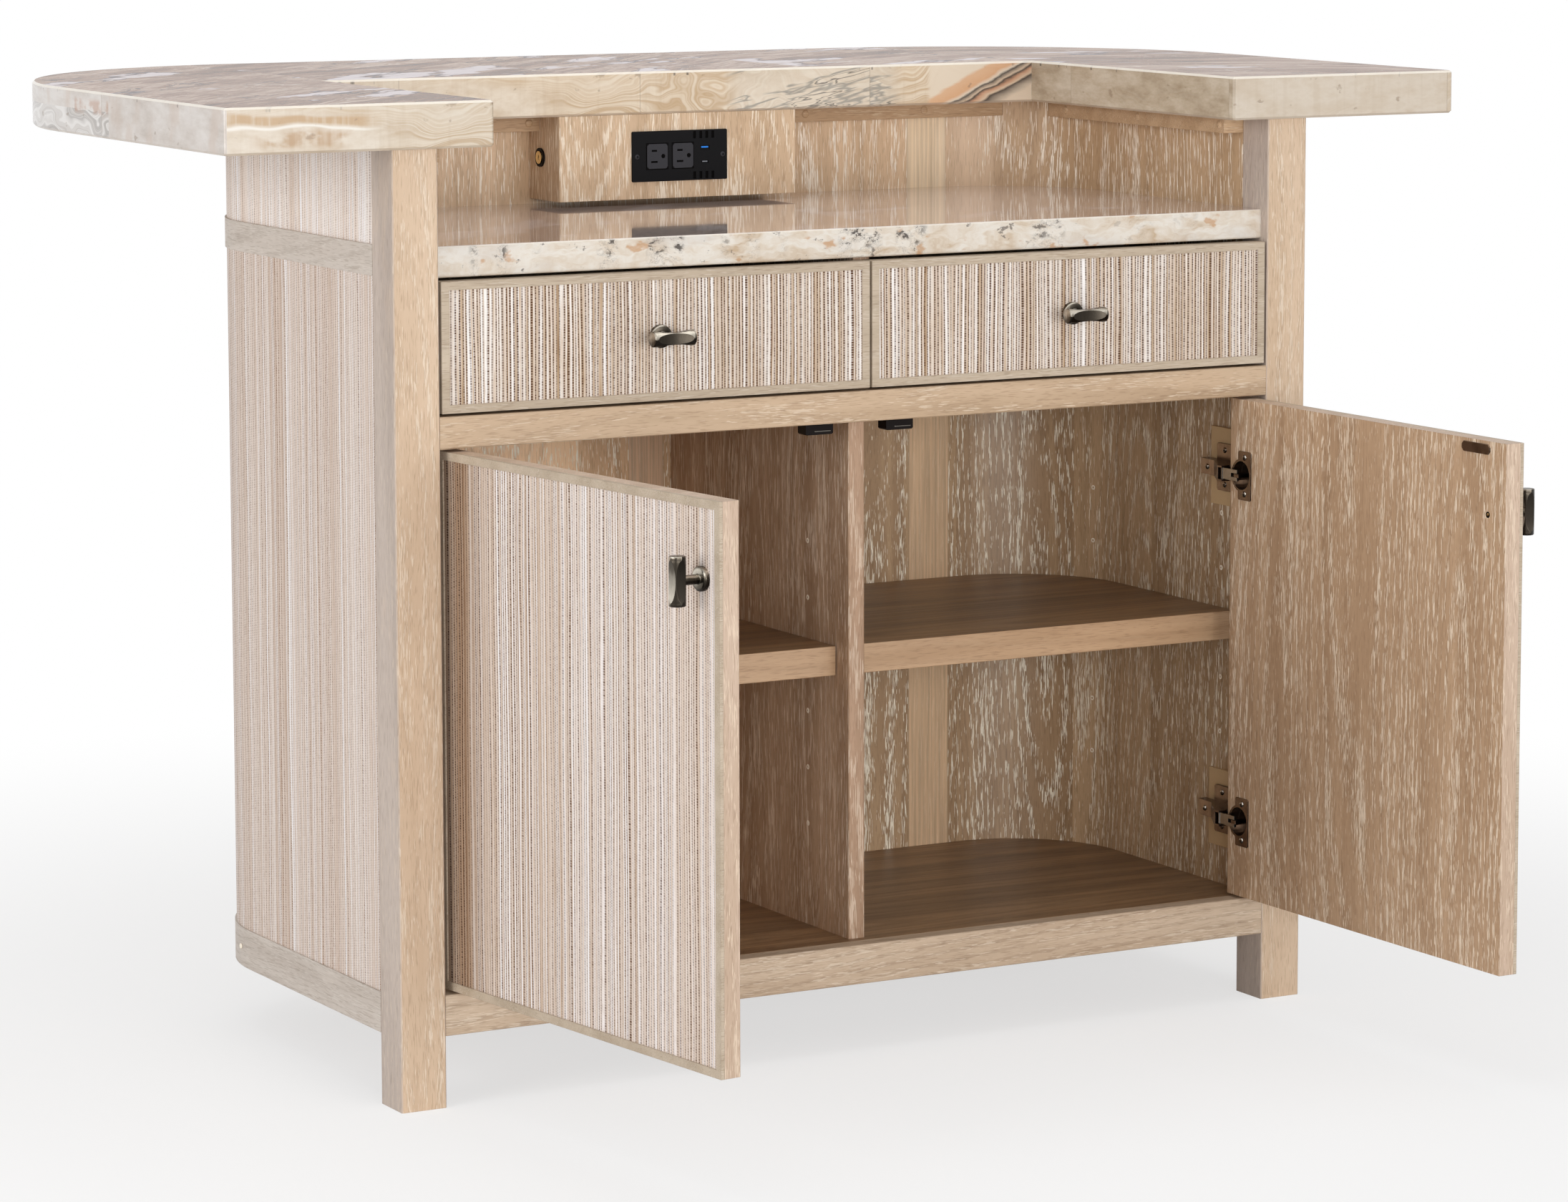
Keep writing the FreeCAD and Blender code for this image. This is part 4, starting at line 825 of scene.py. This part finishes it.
# pulls: a round bar scooped on four sides, its stem and rosette, in millimetres
BAR_HALF, BAR_R, WAIST, ROUND_END, REACH = 25.0, 8.5, 6.15, 3.5, 30.0
ARC_STEPS, ROUND_STEPS, RUN_STEPS, STEM_STEPS = 6, 3, 28, 48
END_BULGE = 0.15
STEM = [(0, 25.5), (5, 25.5), (5, 6.6), (5.5, 5.9), (9.5, 5.7), (11.6, 5.2), (12.5, 4.2),
        (12.6, 3.4), (12.6, 0.0)]
DRAWER_PULL_X, DRAWER_PULL_Z = 258.25, 808.75
KNOB_X, KNOB_Z = 32.5, 620.0


def bar_ring(t, trim, run, curve):
    """Corners of the bar's section at t along it, with trim added to its radius."""
    flat_r = WAIST + curve - math.sqrt(curve * curve - min(t * t, run * run))
    phi = max(math.acos(min(1.0, flat_r / BAR_R)), 0.02)
    ring = []
    for quad in range(4):
        mid = quad * math.pi / 2
        for k in range(ARC_STEPS):
            w = -phi + 2 * phi * k / ARC_STEPS
            ring.append((mid + w, min(BAR_R, flat_r / math.cos(w))))
        for k in range(ROUND_STEPS):
            ring.append((mid + phi + (math.pi / 2 - 2 * phi) * k / ROUND_STEPS, BAR_R))
    return [Vector((t, (r + trim) * math.cos(w) - REACH, (r + trim) * math.sin(w)))
            for w, r in ring]


def pull(name, body, put, node):
    """The bar lies along local X; the face it stands on is at local y = 0 and looks to -Y."""
    bm = bmesh.new()
    sink = BAR_R - WAIST
    run = BAR_HALF - ROUND_END
    curve = (run * run + sink * sink) / (2 * sink)
    ends = [(-BAR_HALF, -1.0), (-BAR_HALF + 0.25, -0.4), (-BAR_HALF + 0.9, 0.0),
            (-run - 0.6, 0.0)]
    stations = ends + [(-run + 2 * run * k / RUN_STEPS, 0.0) for k in range(RUN_STEPS + 1)]
    stations += [(-p, q) for p, q in reversed(ends)]
    rings = [[bm.verts.new(put @ (p / 1000)) for p in bar_ring(t, trim, run, curve)]
             for t, trim in stations]
    n = len(rings[0])
    for lower, upper in zip(rings, rings[1:]):
        for k in range(n):
            bm.faces.new((lower[k], lower[(k + 1) % n], upper[(k + 1) % n], upper[k]))
    sharp = []
    for lower, upper in zip(rings, rings[1:]):
        for quad in range(4):
            start = quad * (ARC_STEPS + ROUND_STEPS)
            sharp += [bm.edges.get((lower[k], upper[k])) for k in (start, start + ARC_STEPS)]
    for ring, t in ((rings[0], -BAR_HALF - END_BULGE), (rings[-1], BAR_HALF + END_BULGE)):
        tip = bm.verts.new(put @ (Vector((t, -REACH, 0)) / 1000))
        for k in range(n):
            bm.faces.new((ring[k], ring[(k + 1) % n], tip))
    out = put.to_3x3() @ Vector((0, -1, 0))
    stem = [(r / 1000, h / 1000) for r, h in STEM]
    lathe(bm, stem, put.to_translation(), out, STEM_STEPS)
    bmesh.ops.recalc_face_normals(bm, faces=bm.faces)
    bm.edges.index_update()
    add(name, bm, [M["bronze"]], body, 35, node, sharp)


for side, s in SIGN.items():
    put = Matrix.Translation(mm(s * DRAWER_PULL_X, WEAVE_FACE, DRAWER_PULL_Z))
    pull(side + "_drawer_handle", side + "_drawer", put, side + "_drawer_pull")
    spot, _ = on_door(side, KNOB_X, WEAVE_FACE, KNOB_Z)
    upright = Matrix.Rotation(math.radians(90), 4, "Y")
    put = Matrix.Translation(spot) @ (door_turn(side) @ upright)
    pull(side + "_door_handle", side + "_door", put, side + "_door_knob")

# cover plate, in millimetres from its middle: screws, dark vents, blade slots and pin holes,
# and a dark line round each socket, these dark pieces being painted shade in the plate's
# grooves, openings and gaps; the radii and profiles of what is round are in metres
PLATE_X, PLATE_Z, PLATE_FACE = -14.5, 969.25, 419.5
PLATE_SCREW_X, PLATE_SCREW_R = 55.5, 0.003
VENT_XS, VENT_HALF, VENT_LOW, VENT_HIGH = (19.0, 27.1, 35.0, 42.8), 1.6, 19.3, 27.3
VENT_FRONT, VENT_BACK = 0.7, 1.1              # behind the plate's face
SOCKET_XS, SOCKET_HALF_X, SOCKET_HALF_Z, RIM_LINE = (-29.5, 3.7), 13.25, 14.25, 1.1
LINE_PROUD, LINE_SUNK = 0.15, 0.2
BLADE_X, BLADE_RISE, BLADE_HALF_Z = -4.0, 6.4, 1.0
BLADE_LENGTHS = {-1: 8.3, 1: 6.8}             # below and above the middle
SLOT_PROUD = 0.3
PIN_HOLE_X, PIN_HOLE = 7.5, [(0, 0.0), (0.0021, 0.0), (0.0021, -0.0006)]

bm = bmesh.new()
for x in (-PLATE_SCREW_X, PLATE_SCREW_X):
    screw(bm, mm(PLATE_X + x, PLATE_FACE, PLATE_Z), (0, -1, 0), PLATE_SCREW_R)
add("plate_screws", bm, [M["socket"], M["hole"]], "cabinet")

bm = bmesh.new()
for x in VENT_XS:
    for rise in (-1, 1):
        z0, z1 = sorted((PLATE_Z + rise * VENT_LOW, PLATE_Z + rise * VENT_HIGH))
        flat(bm, PLATE_X + x - VENT_HALF, PLATE_X + x + VENT_HALF,
             PLATE_FACE + VENT_FRONT, PLATE_FACE + VENT_BACK, z0, z1)
for centre in SOCKET_XS:
    x = PLATE_X + centre
    for rise, length in BLADE_LENGTHS.items():
        z = PLATE_Z + rise * BLADE_RISE
        flat(bm, x + BLADE_X - length / 2, x + BLADE_X + length / 2, PLATE_FACE - SLOT_PROUD,
             PLATE_FACE + SLOT_PROUD, z - BLADE_HALF_Z, z + BLADE_HALF_Z)
    hole_at = mm(x + PIN_HOLE_X, PLATE_FACE - SLOT_PROUD, PLATE_Z)
    lathe(bm, PIN_HOLE, hole_at, (0, -1, 0), SMALL)
    w, h = SOCKET_HALF_X, SOCKET_HALF_Z
    for x0, x1, z0, z1 in ((-w - RIM_LINE, -w, -h, h), (w, w + RIM_LINE, -h, h),
                           (-w - RIM_LINE, w + RIM_LINE, h, h + RIM_LINE),
                           (-w - RIM_LINE, w + RIM_LINE, -h - RIM_LINE, -h)):
        flat(bm, x + x0, x + x1, PLATE_FACE - LINE_PROUD, PLATE_FACE + LINE_SUNK,
             PLATE_Z + z0, PLATE_Z + z1)
add("plate_slots", bm, [M["hole"]], "cabinet")

# round plugs on the battens under the top, and one on the bottom band
PLUG = [(0, 0.0016), (0.0025, 0.0014), (0.0042, 0.0008), (0.00475, 0.0), (0.00475, -0.001)]
BAND_PLUG = [(0, 0.0006), (0.0022, 0.0005), (0.0030, 0.0), (0.0030, -0.0008)]
BAND_PLUG_AT = (-569.8, 430.0, 99.0)
PLUG_Z = 1008.5
BACK_PLUG_XS, BACK_PLUG_Y = (-460.0, -300.0, -181.0, 181.0, 343.0, 476.0), 474.0
SIDE_PLUG_X, SIDE_PLUG_YS = 492.0, (62.0, 235.0, 394.0)
bm = bmesh.new()
for x in BACK_PLUG_XS:
    lathe(bm, PLUG, mm(x, BACK_PLUG_Y, PLUG_Z), (0, -1, 0), FINE)
for y in SIDE_PLUG_YS:
    for s in SIGN.values():
        lathe(bm, PLUG, mm(s * SIDE_PLUG_X, y, PLUG_Z), (-s, 0, 0), FINE)
add("cleat_plugs", bm, [M["cleat"]], "cabinet", 40)

bm = bmesh.new()
lathe(bm, BAND_PLUG, mm(*BAND_PLUG_AT), (-1, 0, 0), SMALL)
add("band_plug", bm, [M["socket_white"]], "cabinet", 40)

# rows of shelf-pin sockets in the dividers and the linings
RIM = [(0, -0.0010), (0.0013, -0.0010), (0.0013, 0.0003), (0.0026, 0.0003), (0.0031, 0.0),
       (0.0031, -0.0006)]
LEVELS = (236.5, 300.5, 364.5, 492.5, 556.5)
DIVIDER_X, DIVIDER_ROWS = 10.0, (126.0, 350.0)
LINING_X, LINING_ROW = 518.0, 90.0
CORNER_X, CORNER_Y, CORNER_R = 378.0, 315.0, 140.0      # the lining's round corner
CORNER_TURN = math.radians(18.0)                        # where the rear row sits on it
bm = bmesh.new()
for z in LEVELS:
    for s in SIGN.values():
        for y in DIVIDER_ROWS:
            lathe(bm, RIM, mm(s * DIVIDER_X, y, z), (s, 0, 0), TINY)
        if z > LEVELS[0]:
            # the lowest one of the front row lies behind the hinge's pad
            lathe(bm, RIM, mm(s * LINING_X, LINING_ROW, z), (-s, 0, 0), TINY)
        c, t = math.cos(CORNER_TURN), math.sin(CORNER_TURN)
        spot = mm(s * (CORNER_X + CORNER_R * c), CORNER_Y + CORNER_R * t, z)
        lathe(bm, RIM, spot, (-s * c, -t, 0), TINY)
add("pin_sockets", bm, [M["socket_white"]], "cabinet", 40)

# magnetic catches: the pole plates' bright edges
CATCH_X, CATCH_TO_LEFT, CATCH_TO_RIGHT = 50.5, 6.0, 14.0
CATCH_YS, CATCH_ZS = (25.6, 26.2), (691.2, 692.3)
bm = bmesh.new()
for s in SIGN.values():
    x = s * CATCH_X
    flat(bm, x - CATCH_TO_LEFT, x + CATCH_TO_RIGHT, *CATCH_YS, *CATCH_ZS)
add("catch_poles", bm, [M["nickel"]], "cabinet")

# hinge screws on flanges, mounting plates and arms: places in millimetres, radii in metres
HINGE_HEIGHTS = (211.5, 612.0)
FLANGE_X, FLANGE_RISE = 485.5, 21.0
MOUNT_X, MOUNT_Y, MOUNT_RISE = 510.0, 72.0, 20.0
ARM_X, ARM_Y = 497.6, 90.0
HINGE_SCREW_R, ARM_SCREW_R = 0.0034, 0.0032
KNOB_HOLE = [(0, 0.00012), (0.0034, 0.00012), (0.0034, -0.0004)]
KNOB_SCREW = [(0, 0.0005), (0.0012, 0.0004), (0.0018, 0.0001), (0.0018, -0.0002)]
for side, s in SIGN.items():
    bm = bmesh.new()
    for z in HINGE_HEIGHTS:
        for rise in (-FLANGE_RISE, FLANGE_RISE):
            spot, out = on_door(side, FLANGE_X, FLANGE_FACE, z + rise)
            screw(bm, spot, out, HINGE_SCREW_R)
    add(side + "_door_screws", bm, [M["nickel"], M["hole"]], side + "_door")
    bm = bmesh.new()
    for z in HINGE_HEIGHTS:
        for rise in (-MOUNT_RISE, MOUNT_RISE):
            screw(bm, mm(s * MOUNT_X, MOUNT_Y, z + rise), (-s, 0, 0), HINGE_SCREW_R)
        screw(bm, mm(s * ARM_X, ARM_Y, z), (-s, 0.05, 0), ARM_SCREW_R)
    add(side + "_hinge_screws", bm, [M["nickel"], M["hole"]], "cabinet")
    # the knob's screw in its hole, whose darkness is a painted shade disc, on the door's inner
    # face
    bm = bmesh.new()
    spot, out = on_door(side, KNOB_X, DOOR_BACK, KNOB_Z)
    lathe(bm, KNOB_HOLE, spot, out, FINE, 1)
    lathe(bm, KNOB_SCREW, spot, out, TINY)
    add(side + "_knob_screw", bm, [M["gold"], M["hole"]], side + "_door")

# ---------------------------------------------------------------- floor, light and camera
FLOOR_HALF = 60
GLOW_NEAR, GLOW_MORE, GLOW_FROM, GLOW_TO = 0.64, 0.36, 0.9, 2.2
WORLD_LIGHT = 0.42
corners = [(FLOOR_HALF * i, FLOOR_HALF * j, 0) for i, j in ((-1, -1), (1, -1), (1, 1), (-1, 1))]
mesh = bpy.data.meshes.new("floor")
mesh.from_pydata(corners, [], [(0, 1, 2, 3)])
floor = bpy.data.objects.new("floor", mesh)
bpy.context.scene.collection.objects.link(floor)


def seen_by_eye(nt):
    """1 for camera, glossy and transmission rays."""
    path = nt.nodes.new("ShaderNodeLightPath")
    last = path.outputs["Is Camera Ray"]
    for key in ("Is Glossy Ray", "Is Transmission Ray"):
        n = nt.nodes.new("ShaderNodeMath")
        n.operation = "MAXIMUM"
        nt.links.new(last, n.inputs[0])
        nt.links.new(path.outputs[key], n.inputs[1])
        last = n.outputs[0]
    return last


# the floor shows its shadow near the part and turns into plain white further away
g = Mat("floor")
g.finish(srgb(250, 250, 250), 0.9, spec=0.05)
x, y, z = g.place()
away = g.math("SQRT", x * x + y * y)
lift = g.step(away, GLOW_FROM, GLOW_TO) * GLOW_MORE + GLOW_NEAR
glow = g.new("Emission")
blend = g.new("MixShader")
g.put(blend.inputs[0], lift * Field(g, seen_by_eye(g.nt)))
g.nt.links.new(g.bsdf.outputs[0], blend.inputs[1])
g.nt.links.new(glow.outputs[0], blend.inputs[2])
g.nt.links.new(blend.outputs[0], g.end.inputs[0])
mesh.materials.append(g.mat)

# the world is white to the eye and dimmer as light
world = bpy.data.worlds.new("studio")
bpy.context.scene.world = world
world.use_nodes = True
nt = world.node_tree
bg = nt.nodes["Background"]
bg.inputs[0].default_value = (1.0, 1.0, 1.0, 1.0)
bg.inputs[1].default_value = WORLD_LIGHT
eye = nt.nodes.new("ShaderNodeBackground")
eye.inputs[0].default_value = (1.0, 1.0, 1.0, 1.0)
pick = nt.nodes.new("ShaderNodeMixShader")
nt.links.new(seen_by_eye(nt), pick.inputs[0])
nt.links.new(bg.outputs[0], pick.inputs[1])
nt.links.new(eye.outputs[0], pick.inputs[2])
nt.links.new(pick.outputs[0], nt.nodes["World Output"].inputs[0])


def lamp(name, place, target, size, power):
    """A soft box that looks at target."""
    data = bpy.data.lights.new(name, "AREA")
    data.shape = "RECTANGLE"
    data.size, data.size_y = size
    data.energy = power
    ob = bpy.data.objects.new(name, data)
    bpy.context.scene.collection.objects.link(ob)
    ob.location = place
    ob.rotation_euler = (Vector(target) - Vector(place)).to_track_quat("-Z", "Y").to_euler()


MIDDLE = (0, 0, 0.6)
lamp("key", (-2.2, -6.0, 1.2), MIDDLE, (3.0, 2.0), 92)
lamp("fill", (1.0, -6.4, 1.05), MIDDLE, (2.6, 1.9), 110)
lamp("side", (-5.6, -1.6, 1.8), MIDDLE, (2.6, 2.4), 102)
lamp("top", (0, 0.2, 3.8), (0, 0, 0.8), (3.4, 3.4), 42)

# the camera, fitted to the photograph in its own pixels
PHOTO_WIDTH, PHOTO_HEIGHT = 2191, 1680
FOCAL, CENTRE_X, CENTRE_Y = 7438.2, 1227.0, 620.9
SENSOR, FAR_CLIP = 36.0, 200.0
CAMERA_AT = (-2.8615, -5.0136 - ORIGIN_Y, 1.3774)
TILT_DOWN, TURN_RIGHT = 0.1207, 0.5199
cam = bpy.data.cameras.new("camera")
cam.sensor_width = SENSOR
cam.lens = FOCAL / PHOTO_WIDTH * SENSOR
cam.shift_x = (PHOTO_WIDTH / 2 - CENTRE_X) / PHOTO_WIDTH
cam.shift_y = (CENTRE_Y - PHOTO_HEIGHT / 2) / PHOTO_WIDTH
cam.clip_end = FAR_CLIP
camera = bpy.data.objects.new("camera", cam)
bpy.context.scene.collection.objects.link(camera)
camera.location = CAMERA_AT
camera.rotation_euler = (math.pi / 2 - TILT_DOWN, 0.0, -TURN_RIGHT)
bpy.context.scene.camera = camera
bpy.context.scene.view_settings.view_transform = "Standard"
